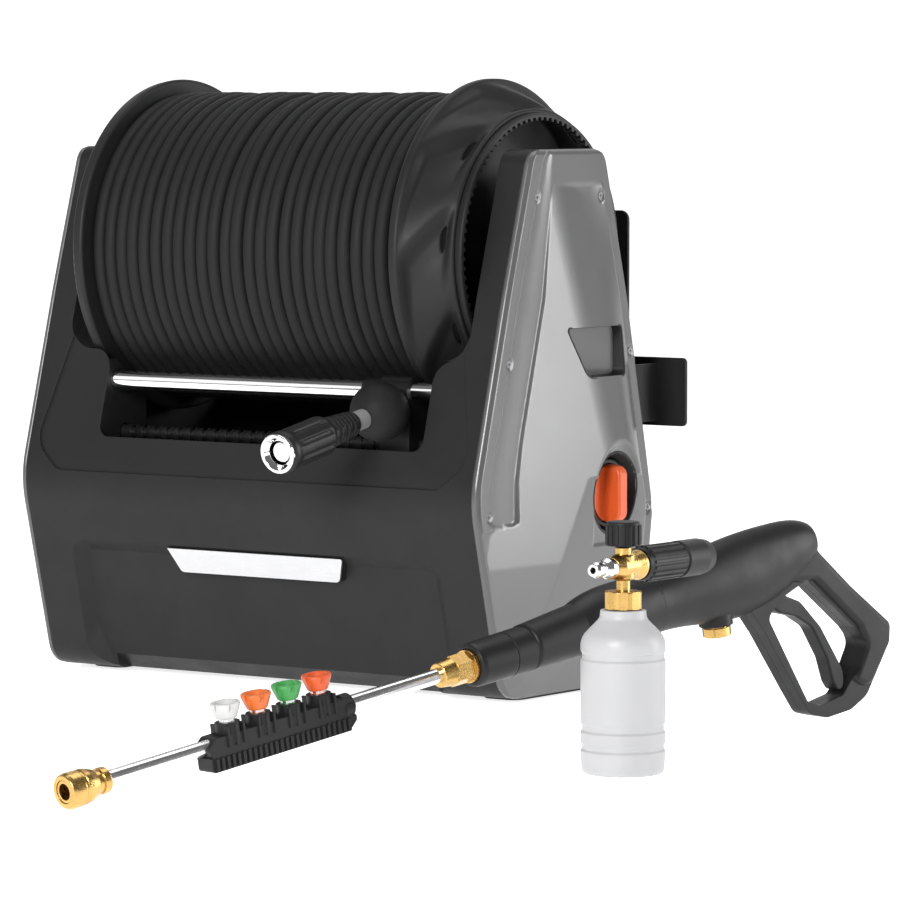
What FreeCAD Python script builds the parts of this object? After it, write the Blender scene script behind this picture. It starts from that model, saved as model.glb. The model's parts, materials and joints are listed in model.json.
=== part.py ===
import FreeCAD, Part
import math
import os

# Hose-reel pressure washer set: a wall or floor standing washer with a wound high-pressure hose,
# a trigger gun with a lance and four spray nozzles, and a foam cannon on its bottle.
# Millimetres. +Z up, the machine's front faces -Y, the reel turns about X.
# The origin is on the floor under the towers, half way between them.

V = FreeCAD.Vector

# ---- driving dimensions ----------------------------------------------------------------------

# housing: side outline (y, z, corner radius), walls and towers
SIDE_OUTLINE = [(-59, 442, 16), (-94.5, 324, 300), (-138, 166, 80), (-98, 4, 24),
                (97, 4, 24), (119.5, 150, 40), (82, 318, 300), (47, 442, 16)]
HOUSING_HALF = 229
WALL = 3
TOWER_INNER = 205
SPLIT_Y = -4
COVER_GAP = 0.4
DECK_Z = 180
WINDOW_Z = 202
SHOULDER_Z = 274
SHOULDER_DEPTH_Y = -62
WINDOW_LEFT = -158
WINDOW_RIGHT = 174
REAR_WALL_Z = 226
POCKET_DEPTH = 8
POCKET_MOUTH = [(-191, 116, 16), (191, 116, 16), (191, 20, 30), (176, -10), (-176, -10), (-191, 20, 30)]
POCKET_FLOOR = [(-179, 104, 8), (179, 104, 8), (180, 40, 30), (164, -10), (-164, -10), (-180, 40, 30)]
FLOOR_FRONT = -64
FLOOR_REAR = 73
FLOOR_Z = 4
ENTRY_X = 120
ENTRY_Z = 75
ENTRY_FACE_Y = 110.5

# side panels
PANEL_X = 233
PANEL_THICK = 4
SCREW_SITES = [(-51, 404), (40, 404), (-90, 272), (-118, 152), (84, 276), (110, 146)]
SCREW_R = 2.8
SWITCH_Y = 50
SWITCH_Z = 161
SWITCH_R = 28

# motor, pump and the pressure pipe
PUMP_Z = 92
PIPE_X = -221.4
PIPE_Y = -35
PIPE_R = 5.5
PIPE_BEND = 12

# reel
REEL_Y = 10
REEL_Z = 358
FLANGE_R = 141
FLANGE_LEFT_X = -178
FLANGE_RIGHT_X = 149
CORE_R = 107
HOSE_R = 6.2
RING_R = 112
RING_TEETH = 90
RING_X = 190
SHAFT_R = 12
RUNNING = 0.05
PAWL_Y = -4
PAWL_Z = 266

# hose guide
ROD_Y = -102
ROD_Z = 248
ROD_R = 8
SCREW_Y = -90
SCREW_Z = 204
LEADSCREW_R = 6
CHEEK_X = 209
CHEEK_THICK = 3
HOSE_X = 136
CARRIAGE_LEFT = 104
CARRIAGE_RIGHT = 149.5
PULLEY_R = 15
PULLEY_X = 216
PULLEY_WIDTH = 8

# hose end, which leaves forwards and drops a little
BALL_R = 24
BALL_FACE = 22.5
BALL_CENTRE = V(HOSE_X, -131, 233)
TAIL_DROP = 10.9
NUT_START = 76
NUT_END = 138
NUT_R = 16.5
PLUG_R = 8

# wall bracket
BRACKET_Y = 156
BRACKET_THICK = 3
BRACKET_HOLE_R = 4
BRACKET_HOLE_X = 165
BRACKET_HOLE_LOW = 238
BRACKET_HOLE_HIGH = 366

# gun: its own frame has u back along the lance, v up and w to its left
GUN_TIP = V(335.4, -766, 13.3)
GUN_HEADING = 77.5
GUN_INCLINE = 8.95
LANCE_R = 5.6
LANCE_START = 28.5
LANCE_END = 384
NOZZLE_SITES = [148, 176.3, 204.6, 232.9]
NOZZLE_NAMES = ["nozzle_white", "nozzle_amber", "nozzle_green", "nozzle_red"]
SOCKET_R = 6.0
SOCKET_FLOOR = 7.5
SOCKET_TOP = 14
CAP_BASE = 16.8
CAP_HEIGHT = 11.2
TRIGGER_PIVOT = (686, -15)
LATCH_PIVOT = (744.7, -80)
INLET_U = 629
INLET_R = 10.9

# foam cannon
BOTTLE_AT = V(534, -378, 0)
BOTTLE_R = 30.6
COLLAR_Z = 118.5
COLLAR_TOP = 131.5
HEAD_Z = 149


# ---- helpers ---------------------------------------------------------------------------------

def rounded_wire(corners, at):
    """Closed wire of straight runs and tangent arcs. A corner is (a, b) or (a, b, radius)."""
    arcs = []
    for before, here, after in zip(corners[-1:] + corners[:-1], corners, corners[1:] + corners[:1]):
        point = V(here[0], here[1], 0)
        back = (V(before[0], before[1], 0) - point).normalize()
        ahead = (V(after[0], after[1], 0) - point).normalize()
        radius = here[2] if len(here) > 2 else 0
        half = back.getAngle(ahead) / 2
        if radius == 0 or half > math.pi / 2 - 1e-4:
            arcs.append((point, None, point))
            continue
        run = radius / math.tan(half)
        inward = (back + ahead).normalize()
        middle = point + inward * (radius / math.sin(half) - radius)
        arcs.append((point + back * run, middle, point + ahead * run))
    edges = []
    for (start, middle, end), (following, _, _) in zip(arcs, arcs[1:] + arcs[:1]):
        if middle is not None:
            edges.append(Part.Arc(at(start.x, start.y), at(middle.x, middle.y), at(end.x, end.y)).toShape())
        if end.distanceToPoint(following) > 1e-6:
            edges.append(Part.makeLine(at(end.x, end.y), at(following.x, following.y)))
    return Part.Wire(edges)


def prism_x(corners, x0, x1):
    """Outline in (y, z), from x0 to x1."""
    face = Part.Face(rounded_wire(corners, lambda y, z: V(x0, y, z)))
    return face.extrude(V(x1 - x0, 0, 0))


def prism_y(corners, y0, y1):
    """Outline in (x, z), from y0 to y1."""
    face = Part.Face(rounded_wire(corners, lambda x, z: V(x, y0, z)))
    return face.extrude(V(0, y1 - y0, 0))


def prism_z(corners, z0, z1):
    """Outline in (x, y), from z0 to z1."""
    face = Part.Face(rounded_wire(corners, lambda x, y: V(x, y, z0)))
    return face.extrude(V(0, 0, z1 - z0))


def block(x0, x1, y0, y1, z0, z1):
    return Part.makeBox(x1 - x0, y1 - y0, z1 - z0, V(x0, y0, z0))


def place(shape, origin, axis):
    """Moves a shape made along Z from the origin, so that it runs along axis from origin."""
    moved = shape.copy()
    moved.Placement = FreeCAD.Placement(origin, FreeCAD.Rotation(V(0, 0, 1), axis)).multiply(shape.Placement)
    return moved


def turned(profile, origin=V(0, 0, 0), axis=V(0, 0, 1)):
    """Solid of revolution. The profile is (distance along the axis, radius, corner radius)."""
    face = Part.Face(rounded_wire(profile, lambda along, radius: V(radius, 0, along)))
    return place(face.revolve(V(0, 0, 0), V(0, 0, 1), 360), origin, axis)


def rod(radius, start, end):
    return Part.makeCylinder(radius, (end - start).Length, start, end - start)


def inset(corners, distance):
    """The outline moved inwards all round. Its corners run anticlockwise or clockwise and are convex."""
    centre_a = sum(corner[0] for corner in corners) / len(corners)
    centre_b = sum(corner[1] for corner in corners) / len(corners)
    lines = []
    for here, after in zip(corners, corners[1:] + corners[:1]):
        along = V(after[0] - here[0], after[1] - here[1], 0).normalize()
        normal = V(-along.y, along.x, 0)
        if normal.dot(V(centre_a - here[0], centre_b - here[1], 0)) < 0:
            normal = normal * -1
        lines.append((V(here[0], here[1], 0) + normal * distance, along))
    moved = []
    for (p, d), (q, e), corner in zip(lines[-1:] + lines[:-1], lines, corners):
        across = d.x * e.y - d.y * e.x
        step = ((q.x - p.x) * e.y - (q.y - p.y) * e.x) / across
        moved.append((p.x + d.x * step, p.y + d.y * step, max(corner[2] - distance, 1)))
    return moved


def edges_where(shape, test):
    """Edges whose middle passes the test."""
    return [edge for edge in shape.Edges if test(edge.CenterOfMass)]


def mirrored(shape):
    return shape.mirror(V(0, 0, 0), V(1, 0, 0))


def knurled(radius, depth, count, start, end, turn=0.0):
    """Bar along Z with flat-bottomed flutes all round."""
    bar = Part.makeCylinder(radius, end - start, V(0, 0, start))
    flutes = []
    width = math.pi * radius / count
    for index in range(count):
        angle = 360 * index / count + turn
        flute = Part.makeBox(depth * 2, width, end - start + 2, V(radius - depth, -width / 2, start - 1))
        flute.rotate(V(0, 0, 0), V(0, 0, 1), angle)
        flutes.append(flute)
    return bar.cut(Part.makeCompound(flutes))


# ---- housing ---------------------------------------------------------------------------------

def side_prism(depth, x0, x1):
    """The housing's side outline, moved inwards by depth."""
    return prism_x(inset(SIDE_OUTLINE, depth), x0, x1)


def front_skin(depth, window):
    """The outermost layer of the housing, depth thick, inside an outline in (x, z) seen from the front."""
    layer = side_prism(0, -HOUSING_HALF, HOUSING_HALF).cut(side_prism(depth, -240, 240))
    return layer.common(prism_y(window, -160, -60))


def front_point(x, z, depth):
    """Point under the flat lower front, whose depth is measured square to it."""
    top, low = SIDE_OUTLINE[2], SIDE_OUTLINE[3]
    along = V(0, low[0] - top[0], low[1] - top[1]).normalize()
    y = top[0] + (low[0] - top[0]) * (top[1] - z) / (top[1] - low[1])
    return V(x, y, z) + V(0, -along.z, along.y) * depth


def front_pocket(depth):
    """The shallow pocket low on the front: a flat floor inside wide sloping edges."""
    rise = depth / POCKET_DEPTH
    mouth = rounded_wire(POCKET_MOUTH, lambda x, z: front_point(x, z, -rise))
    floor = rounded_wire(POCKET_FLOOR, lambda x, z: front_point(x, z, depth))
    return Part.makeLoft([mouth, floor], True, True)


def flange_room():
    """Space that the turning flanges need behind the shoulders."""
    room = FLANGE_R + 1.5
    left_low, left_high = FLANGE_LEFT_X - 7, WINDOW_LEFT + 1
    left = reel_turned([(left_low, 0), (left_low, room), (left_high, room), (left_high, 0)])
    right_low, cone_low, cone_high = FLANGE_RIGHT_X - 8, FLANGE_RIGHT_X + 6, TOWER_INNER - 2
    right = reel_turned([(right_low, 0), (right_low, room), (cone_low, room), (cone_high, RING_R + 5),
                         (cone_high, 0)])
    return left.fuse(right)


def tower_room(hollow, side):
    """Space inside one tower and inside its shoulder round the ends of the guide."""
    reach = WINDOW_LEFT - WALL if side < 0 else WINDOW_RIGHT + WALL
    rooms = []
    for x, y1, z0, z1 in ((side * (TOWER_INNER + WALL), 140, 0, 460),
                          (reach, SHOULDER_DEPTH_Y - WALL, DECK_Z - WALL - 1, SHOULDER_Z - WALL)):
        rooms.append(hollow.common(block(min(x, side * 240), max(x, side * 240), -140, y1, z0, z1)))
    return Part.makeCompound(rooms)


def housing():
    """Front and rear cover as one shell, before it is parted."""
    outer = side_prism(0, -HOUSING_HALF, HOUSING_HALF)
    front_opening = [(-TOWER_INNER, 460), (-TOWER_INNER, SHOULDER_Z, 24), (WINDOW_LEFT, SHOULDER_Z, 18),
                     (WINDOW_LEFT, WINDOW_Z, 10), (WINDOW_RIGHT, WINDOW_Z, 10),
                     (WINDOW_RIGHT, SHOULDER_Z, 18), (TOWER_INNER, SHOULDER_Z, 24), (TOWER_INNER, 460)]
    rear_opening = [(-TOWER_INNER, 460), (-TOWER_INNER, REAR_WALL_Z, 20),
                    (TOWER_INNER, REAR_WALL_Z, 20), (TOWER_INNER, 460)]
    shell = outer.cut(prism_y(front_opening, -160, SHOULDER_DEPTH_Y))
    shell = shell.cut(prism_y(rear_opening, SHOULDER_DEPTH_Y, 160))
    # drum bay behind the lip and between the towers
    core = side_prism(WALL, -TOWER_INNER, TOWER_INNER)
    shell = shell.cut(core.common(block(-TOWER_INNER, TOWER_INNER, SHOULDER_DEPTH_Y, 130, DECK_Z, 460)))
    recess = block(WINDOW_LEFT, WINDOW_RIGHT, -140, SHOULDER_DEPTH_Y, DECK_Z, SHOULDER_Z)
    shell = shell.cut(core.common(recess))
    # room for the motor and pump below the deck, with a thicker wall behind the front pocket
    hollow = side_prism(WALL, -240, 240)
    belly = hollow.common(block(-240, 240, -140, 140, 0, DECK_Z - WALL))
    belly = belly.cut(front_pocket(POCKET_DEPTH + WALL))
    toe = block(-180, 180, -140, FLOOR_FRONT - 2, 0, 26)
    shell = shell.cut(belly.cut(toe))
    for side in (-1, 1):
        shell = shell.cut(tower_room(hollow.cut(toe), side))
    # relief of the front: a shallow band round the window and the deep pocket below
    band = [(-197, 300), (-222, 196, 22), (-196, 173, 14), (196, 173, 14), (222, 196, 22), (197, 300)]
    shell = shell.cut(front_skin(1.6, band))
    tab = prism_y(badge_outline(), -160, -60)
    shell = shell.cut(front_pocket(POCKET_DEPTH).cut(tab))
    undercut = [(-120, 17), (-92, 17), (-66, -1), (-120, -1)]
    shell = shell.cut(prism_x(undercut, -166, 166))
    shell = shell.cut(flange_room())
    # flat bosses for the water and power entries in the rear wall
    for x in (-ENTRY_X, ENTRY_X):
        shell = shell.fuse(rod(20, V(x, 101, ENTRY_Z), V(x, ENTRY_FACE_Y, ENTRY_Z)))
    # passages for the reel's shaft, the guide rod and the leadscrew
    shell = shell.cut(rod(26, V(-240, REEL_Y, REEL_Z), V(240, REEL_Y, REEL_Z)))
    shell = shell.cut(rod(ROD_R + 0.3, V(-240, ROD_Y, ROD_Z), V(240, ROD_Y, ROD_Z)))
    shell = shell.cut(rod(LEADSCREW_R + 1.5, V(-240, SCREW_Y, SCREW_Z), V(240, SCREW_Y, SCREW_Z)))
    shell = shell.cut(rod(3 + RUNNING, V(200, PAWL_Y, PAWL_Z), V(CHEEK_X, PAWL_Y, PAWL_Z)))
    shell = shell.cut(rod(13.5, V(-ENTRY_X, 90, ENTRY_Z), V(-ENTRY_X, 140, ENTRY_Z)))
    shell = shell.cut(rod(9, V(ENTRY_X, 90, ENTRY_Z), V(ENTRY_X, 140, ENTRY_Z)))
    # floor of the shell is the tray's
    return shell.cut(block(-240, 240, FLOOR_FRONT, FLOOR_REAR, 0, 20))


def badge_outline():
    return [(-86, 112), (94, 112, 1.5), (88, 92.5, 5), (-74, 92.5, 5)]


def front_cover():
    half = housing().common(block(-240, 240, -160, SPLIT_Y - COVER_GAP / 2, 0, 460))
    seat = prism_y(badge_outline(), -160, -60).cut(side_prism(1.0, -240, 240))
    return half.cut(seat)


def rear_cover():
    return housing().common(block(-240, 240, SPLIT_Y + COVER_GAP / 2, 160, 0, 460))


def badge_plate():
    """Blank bright plate across the top edge of the front pocket."""
    plate = side_prism(-0.6, -100, 100).cut(side_prism(1.0, -101, 101))
    return plate.common(prism_y(badge_outline(), -160, -60))


def base_tray():
    """Floor of the machine, with a rail for the pump and one for the motor."""
    floor = block(-226, 226, FLOOR_FRONT + 0.4, FLOOR_REAR - 0.4, FLOOR_Z, FLOOR_Z + 4)
    pump_rail = block(-84, -68, -50, 50, FLOOR_Z + 4, 57.9)
    motor_rail = block(92, 108, -50, 50, FLOOR_Z + 4, 43.2)
    return floor.fuse([pump_rail, motor_rail]).removeSplitter()


def foot_frame():
    """Rubber foot: a skid under each tower, joined along the rear."""
    outline = [(-222, -62, 12), (-186, -62, 8), (-186, 44, 8), (186, 44, 8), (186, -62, 8), (222, -62, 12),
               (222, 71, 12), (-222, 71, 12)]
    foot = prism_z(outline, 0, FLOOR_Z)
    lower = edges_where(foot, lambda c: c.z < 0.1)
    return foot.makeChamfer(1, lower)


# ---- side panels -----------------------------------------------------------------------------

def below_plane(a, b, c, depth=60):
    """The space on the machine's side of the plane through three points, as a slab."""
    normal = (b - a).cross(c - a).normalize()
    if normal.x > 0:
        normal = normal * -1
    face = Part.makePlane(900, 900, a, normal * -1)
    middle = V((a.x + b.x + c.x) / 3, (a.y + b.y + c.y) / 3, (a.z + b.z + c.z) / 3)
    face.translate(middle - face.CenterOfMass)
    return face.extrude(normal * depth)


def switch_field():
    """Outline in (y, z) of the darker sunken field round the switch."""
    return [(50, 214, 16), (-45, 72, 24), (-50, 20, 8), (88, 20, 8), (97, 115, 14), (72, 200, 16)]


def grip_pocket(x0, x1, margin=0.0):
    outline = [(-7 - margin, 295 + margin, 3), (66 + margin, 295 + margin, 4),
               (67 + margin, 257 - margin, 4), (12 - margin, 257 - margin, 16)]
    return prism_x(outline, x0, x1)


def panel_bulge():
    """Raised middle of a side panel: a front and a rear facet that meet in a crease, with sloping edges."""
    valley = PANEL_X + 1.2
    crest = PANEL_X + 10.4
    crease_top = V(PANEL_X + 2.9, -31, 412)
    crease_low = V(PANEL_X + 10, 52, 200)
    front_edge = V(PANEL_X + 4.6, -84, 144)
    rear_edge = V(PANEL_X + 2, 112, 182)
    upper_outline = [(-40, 414, 10), (-110, 146, 4), (-110, 136, 2), (102, 136, 20), (48, 414, 14)]
    lower_outline = [(-86, 148, 10), (-84, 141, 8), (-124, 132, 3), (-121, 116, 40), (-97, 20, 8),
                     (93, 20, 8), (107, 120, 30), (96, 160, 20)]
    foot_line = below_plane(V(valley, -42, 414), V(valley, -110, 140), front_edge)
    upper = prism_x(upper_outline, PANEL_X - 2, PANEL_X + 20).common(foot_line)
    lower = prism_x(lower_outline, PANEL_X - 2, PANEL_X + 20)
    bulge = upper.fuse(lower)
    bulge = bulge.common(below_plane(crease_top, crease_low, front_edge))
    bulge = bulge.common(below_plane(crease_top, crease_low, rear_edge))
    bulge = bulge.common(below_plane(V(crest, 0, 46), V(crest, 50, 46), V(valley + 1, 0, 12)))
    bulge = bulge.common(below_plane(V(valley, 116, 150), V(valley, 100, 40), V(crest, 82, 90)))
    return bulge.common(block(0, crest, -200, 200, 0, 500))


def side_panel():
    """Right-hand panel: a flat border with screws, a faceted bulge, a grip pocket and the switch field."""
    inner = PANEL_X - PANEL_THICK
    border = PANEL_X + 2.4
    plate = prism_x(SIDE_OUTLINE, inner, border)
    plate = plate.makeChamfer(5, edges_where(plate, lambda c: c.x > border - 0.1))
    panel = plate.cut(prism_x(inset(SIDE_OUTLINE, 16), PANEL_X + 1.2, border + 9))
    panel = panel.fuse(panel_bulge())
    # sunken field and round well of the switch
    panel = panel.cut(prism_x(switch_field(), PANEL_X + 1.6, PANEL_X + 20))
    panel = panel.cut(rod(SWITCH_R + 0.4, V(inner - 1, SWITCH_Y, SWITCH_Z),
                          V(PANEL_X + 20, SWITCH_Y, SWITCH_Z)))
    # pocket for the fingers, closed by its own thin wall
    panel = panel.fuse(grip_pocket(216, PANEL_X, 2))
    panel = panel.cut(grip_pocket(218, PANEL_X + 20))
    for y, z in SCREW_SITES:
        panel = panel.cut(rod(SCREW_R + 0.5, V(PANEL_X - 1.5, y, z), V(PANEL_X + 9, y, z)))
    return panel.removeSplitter()


def left_side_panel():
    """The left panel is the right one's mirror image, and its switch well is plugged."""
    plug = rod(SWITCH_R + 0.4, V(PANEL_X - PANEL_THICK, SWITCH_Y, SWITCH_Z),
               V(PANEL_X + 1.6, SWITCH_Y, SWITCH_Z))
    return mirrored(side_panel().fuse(plug).removeSplitter())


def panel_screws():
    heads = []
    for y, z in SCREW_SITES:
        head = rod(SCREW_R, V(PANEL_X - 1.5, y, z), V(PANEL_X + 0.6, y, z))
        slot = block(PANEL_X - 0.4, PANEL_X + 2, y - 2, y + 2, z - 0.5, z + 0.5)
        cross = block(PANEL_X - 0.4, PANEL_X + 2, y - 0.5, y + 0.5, z - 2, z + 2)
        head = head.cut(slot).cut(cross)
        heads += [head, mirrored(head)]
    return Part.makeCompound(heads)


def switch_bezel():
    x0 = PANEL_X - PANEL_THICK - 16
    ring = turned([(0, 0), (0, SWITCH_R - 3), (15, SWITCH_R - 3), (15, SWITCH_R), (22.5, SWITCH_R, 1.5),
                   (22.5, SWITCH_R - 3.5, 1), (18, SWITCH_R - 4.5), (18, 0)], V(x0, SWITCH_Y, SWITCH_Z),
                  V(1, 0, 0))
    socket = rod(5 + RUNNING, V(x0 + 2, SWITCH_Y, SWITCH_Z), V(x0 + 40, SWITCH_Y, SWITCH_Z))
    return ring.cut(socket)


def switch_knob():
    """Round base with an upright bar to turn it by, in the off position."""
    x0 = PANEL_X - PANEL_THICK + 2.4
    base = rod(SWITCH_R - 5, V(x0, SWITCH_Y, SWITCH_Z), V(x0 + 4, SWITCH_Y, SWITCH_Z))
    bar_outline = [(x0 + 1, SWITCH_Z - 24, 4), (x0 + 19, SWITCH_Z - 22, 8), (x0 + 19, SWITCH_Z + 22, 8),
                   (x0 + 1, SWITCH_Z + 24, 4)]
    bar = prism_y(bar_outline, SWITCH_Y - 6, SWITCH_Y + 6)
    bar = bar.makeFillet(2.5, edges_where(bar, lambda c: c.x > x0 + 6))
    bar = bar.common(rod(SWITCH_R - 2.5, V(x0, SWITCH_Y, SWITCH_Z), V(x0 + 40, SWITCH_Y, SWITCH_Z)))
    base = base.fuse(rod(5, V(x0 - 12, SWITCH_Y, SWITCH_Z), V(x0 + 1, SWITCH_Y, SWITCH_Z)))
    return base.fuse(bar).removeSplitter()


# ---- frame inside the housing and the wall bracket -------------------------------------------

def frame_cheeks():
    """A steel plate in each tower, which carry the reel, the guide rod and the leadscrew."""
    low, high = CHEEK_X, CHEEK_X + CHEEK_THICK
    plate = side_prism(8, low, high)
    plate = plate.common(block(low, high, -130, 130, 60, 430))
    plate = plate.cut(rod(21, V(low - 1, REEL_Y, REEL_Z), V(high + 1, REEL_Y, REEL_Z)))
    plate = plate.cut(rod(ROD_R, V(low - 1, ROD_Y, ROD_Z), V(high + 1, ROD_Y, ROD_Z)))
    plate = plate.cut(rod(LEADSCREW_R + RUNNING, V(low - 1, SCREW_Y, SCREW_Z), V(high + 1, SCREW_Y, SCREW_Z)))
    plate = plate.cut(rod(PIPE_R + 1.5, V(low - 1, PIPE_Y, PUMP_Z), V(high + 1, PIPE_Y, PUMP_Z)))
    window = [(12, 215, 10), (66, 215, 10), (56, 300, 10), (12, 300, 10)]
    plate = plate.cut(prism_x(window, low - 1, high + 1))
    return Part.makeCompound([plate, mirrored(plate)])


def drum_bearings():
    """One ball bearing in each cheek, shown as plain rings."""
    profile = [(0, SHAFT_R + RUNNING), (0, 21), (7, 21), (7, SHAFT_R + RUNNING)]
    right = turned(profile, V(CHEEK_X - 1, REEL_Y, REEL_Z), V(1, 0, 0))
    return Part.makeCompound([right, mirrored(right)])


def wall_bracket():
    """Folded steel bracket: a cross bar, two uprights, a top strip and an arm to each tower."""
    y0, y1 = BRACKET_Y, BRACKET_Y + BRACKET_THICK
    outline = [(-241, 210, 4), (241, 210, 4), (241, 267, 4), (183, 267, 6), (183, 389, 8), (-183, 389, 8),
               (-183, 267, 6), (-241, 267, 4)]
    plate = prism_y(outline, y0, y1)
    window = [(-146, 262, 8), (146, 262, 8), (146, 346, 8), (-146, 346, 8)]
    plate = plate.cut(prism_y(window, y0 - 1, y1 + 1))
    for x in (-BRACKET_HOLE_X, BRACKET_HOLE_X):
        for z in (BRACKET_HOLE_LOW, BRACKET_HOLE_HIGH):
            plate = plate.cut(rod(BRACKET_HOLE_R, V(x, y0 - 1, z), V(x, y1 + 1, z)))
    arms = []
    for x in (-214, 210):
        arm = block(x, x + 4, 60, y0 + 1, 214, 262)
        arms.append(arm.cut(side_prism(0, -240, 240)))
    return plate.fuse(arms).removeSplitter()


def motor():
    can = turned([(0, 0), (0, 38, 6), (14, 45, 3), (126, 45, 3), (140, 38, 6), (140, 0)],
                 V(16, 0, PUMP_Z), V(1, 0, 0))
    fins = []
    for index in range(12):
        fin = block(34, 138, -1.2, 1.2, PUMP_Z + 44, PUMP_Z + 48)
        fin.rotate(V(0, 0, PUMP_Z), V(1, 0, 0), 30 * index)
        fins.append(fin)
    return can.fuse(fins).removeSplitter()


def pump_head():
    crankcase = turned([(0, 0), (0, 36, 4), (52, 40, 4), (52, 0)], V(-40, 0, PUMP_Z), V(1, 0, 0))
    head = prism_x([(-38, 58, 6), (38, 58, 6), (38, 126, 6), (-38, 126, 6)], -112, -40)
    caps = [rod(9, V(x, 0, 124), V(x, 0, 134)) for x in (-98, -76, -54)]
    return crankcase.fuse([head] + caps).removeSplitter()


def pressure_pipe():
    """Steel pipe from the pump, up inside the left tower, to the swivel on the reel's hollow shaft."""
    start = V(-112, PIPE_Y, PUMP_Z)
    first = V(PIPE_X + PIPE_BEND, PIPE_Y, PUMP_Z)
    second = V(PIPE_X, PIPE_Y, PUMP_Z + PIPE_BEND)
    third = V(PIPE_X, PIPE_Y, REEL_Z - PIPE_BEND)
    fourth = V(PIPE_X, PIPE_Y + PIPE_BEND, REEL_Z)
    lean = PIPE_BEND * (1 - math.sqrt(0.5))
    edges = [Part.makeLine(start, first),
             Part.Arc(first, V(PIPE_X + lean, PIPE_Y, PUMP_Z + lean), second).toShape(),
             Part.makeLine(second, third),
             Part.Arc(third, V(PIPE_X, PIPE_Y + lean, REEL_Z - lean), fourth).toShape(),
             Part.makeLine(fourth, V(PIPE_X, REEL_Y - 8, REEL_Z))]
    ring = Part.Wire(Part.makeCircle(PIPE_R, start, V(1, 0, 0)))
    pipe = Part.Wire(edges).makePipeShell([ring], True, True)
    swivel = reel_turned([(-227, 0), (-227, 9, 1), (-216, 9, 1), (-216, 0)])
    return pipe.fuse(swivel).removeSplitter()


def water_inlet():
    """Threaded inlet for the supply hose, through the rear wall."""
    profile = [(0, 7), (0, 17, 1), (4, 17, 1), (4, 13), (24, 13, 1), (24, 7)]
    inlet = turned(profile, V(-ENTRY_X, ENTRY_FACE_Y, ENTRY_Z), V(0, 1, 0))
    spigot = turned([(-15, 0), (-15, 10), (0.5, 10), (0.5, 7), (-12, 7), (-12, 0)],
                    V(-ENTRY_X, ENTRY_FACE_Y, ENTRY_Z), V(0, 1, 0))
    return inlet.fuse(spigot).removeSplitter()


def cable_gland():
    """Gland for the power lead, through the rear wall."""
    return turned([(-18, 4), (-18, 8.9), (0, 8.9), (0, 13), (8, 13, 2), (16, 7, 1), (16, 4)],
                  V(ENTRY_X, ENTRY_FACE_Y, ENTRY_Z), V(0, 1, 0))


# ---- reel ------------------------------------------------------------------------------------

def reel_turned(profile):
    """Piece turned about the reel's axis. The profile is (x, radius)."""
    return turned(profile, V(0, REEL_Y, REEL_Z), V(1, 0, 0))


def reel_shaft():
    """Hollow shaft that takes the water in from the left."""
    return reel_turned([(-215.5, 5), (-215.5, SHAFT_R), (225.5, SHAFT_R), (225.5, 0), (-120, 0), (-120, 5)])


def drum_core():
    left, right = FLANGE_LEFT_X + 6, FLANGE_RIGHT_X - 6
    return reel_turned([(left, CORE_R - 3), (left, CORE_R), (right, CORE_R), (right, CORE_R - 3)])


def left_flange():
    """Disc with a rolled rim and a hub."""
    x = FLANGE_LEFT_X
    return reel_turned([(x - 5, FLANGE_R - 15), (x - 5, FLANGE_R - 2, 3), (x + 6, FLANGE_R, 3),
                        (x + 6, SHAFT_R), (x - 24, SHAFT_R), (x - 24, 30, 3), (x, 34, 3),
                        (x, FLANGE_R - 15)])


def right_flange():
    """Disc that runs out into a cone with slanting blades, up to the ratchet ring."""
    x = FLANGE_RIGHT_X
    shell = reel_turned([(x - 6, SHAFT_R), (x - 6, FLANGE_R - 1, 2), (x + 3, FLANGE_R, 3),
                         (RING_X, RING_R + 4), (RING_X, RING_R - 1), (x + 3, FLANGE_R - 8),
                         (x, FLANGE_R - 10), (x, 34, 3), (x + 24, 30, 3), (x + 24, SHAFT_R)])
    blades = []
    count = 12
    for index in range(count):
        low, high = REEL_Y + FLANGE_R - 14, REEL_Y + FLANGE_R - 1
        blade = block(x + 1, x + 24, low, high, REEL_Z - 2, REEL_Z + 2)
        blade.rotate(V(0, REEL_Y, REEL_Z), V(1, 0, 0), 360 * index / count)
        blades.append(blade)
    body = shell.fuse(blades)
    limit = reel_turned([(x - 6, 0), (x - 6, FLANGE_R), (x + 3, FLANGE_R), (RING_X, RING_R + 10),
                         (RING_X, 0)])
    return body.common(limit).removeSplitter()


def ring_gear():
    """Ratchet ring with teeth on its inside."""
    points = []
    for index in range(RING_TEETH):
        angle = 2 * math.pi * index / RING_TEETH
        step = 2 * math.pi / RING_TEETH
        for share, radius in ((0.0, RING_R - 5), (0.28, RING_R - 5), (0.42, RING_R - 2.4),
                              (0.86, RING_R - 2.4)):
            turn = angle + share * step
            points.append(V(RING_X, REEL_Y + radius * math.sin(turn), REEL_Z + radius * math.cos(turn)))
    bore = Part.Face(Part.makePolygon(points + points[:1])).extrude(V(8, 0, 0))
    ring = reel_turned([(RING_X, 0), (RING_X, RING_R + 1), (RING_X + 6, RING_R + 1, 1.5), (RING_X + 6, 0)])
    return ring.cut(bore)


def coil_radius():
    """Outer radius of two layers of hose, whose second one lies in the first one's valleys."""
    return CORE_R + 0.2 + HOSE_R * (2 + 2 * 0.9)


def hose_coil():
    """Two layers of hose wound side by side, as one ring of the coil's outer shape."""
    left, right = FLANGE_LEFT_X + 6.3, FLANGE_RIGHT_X - 6.3
    inner, outer = CORE_R + 0.2, coil_radius()
    return reel_turned([(left, inner), (left, outer, HOSE_R), (right, outer, HOSE_R), (right, inner)])


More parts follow.
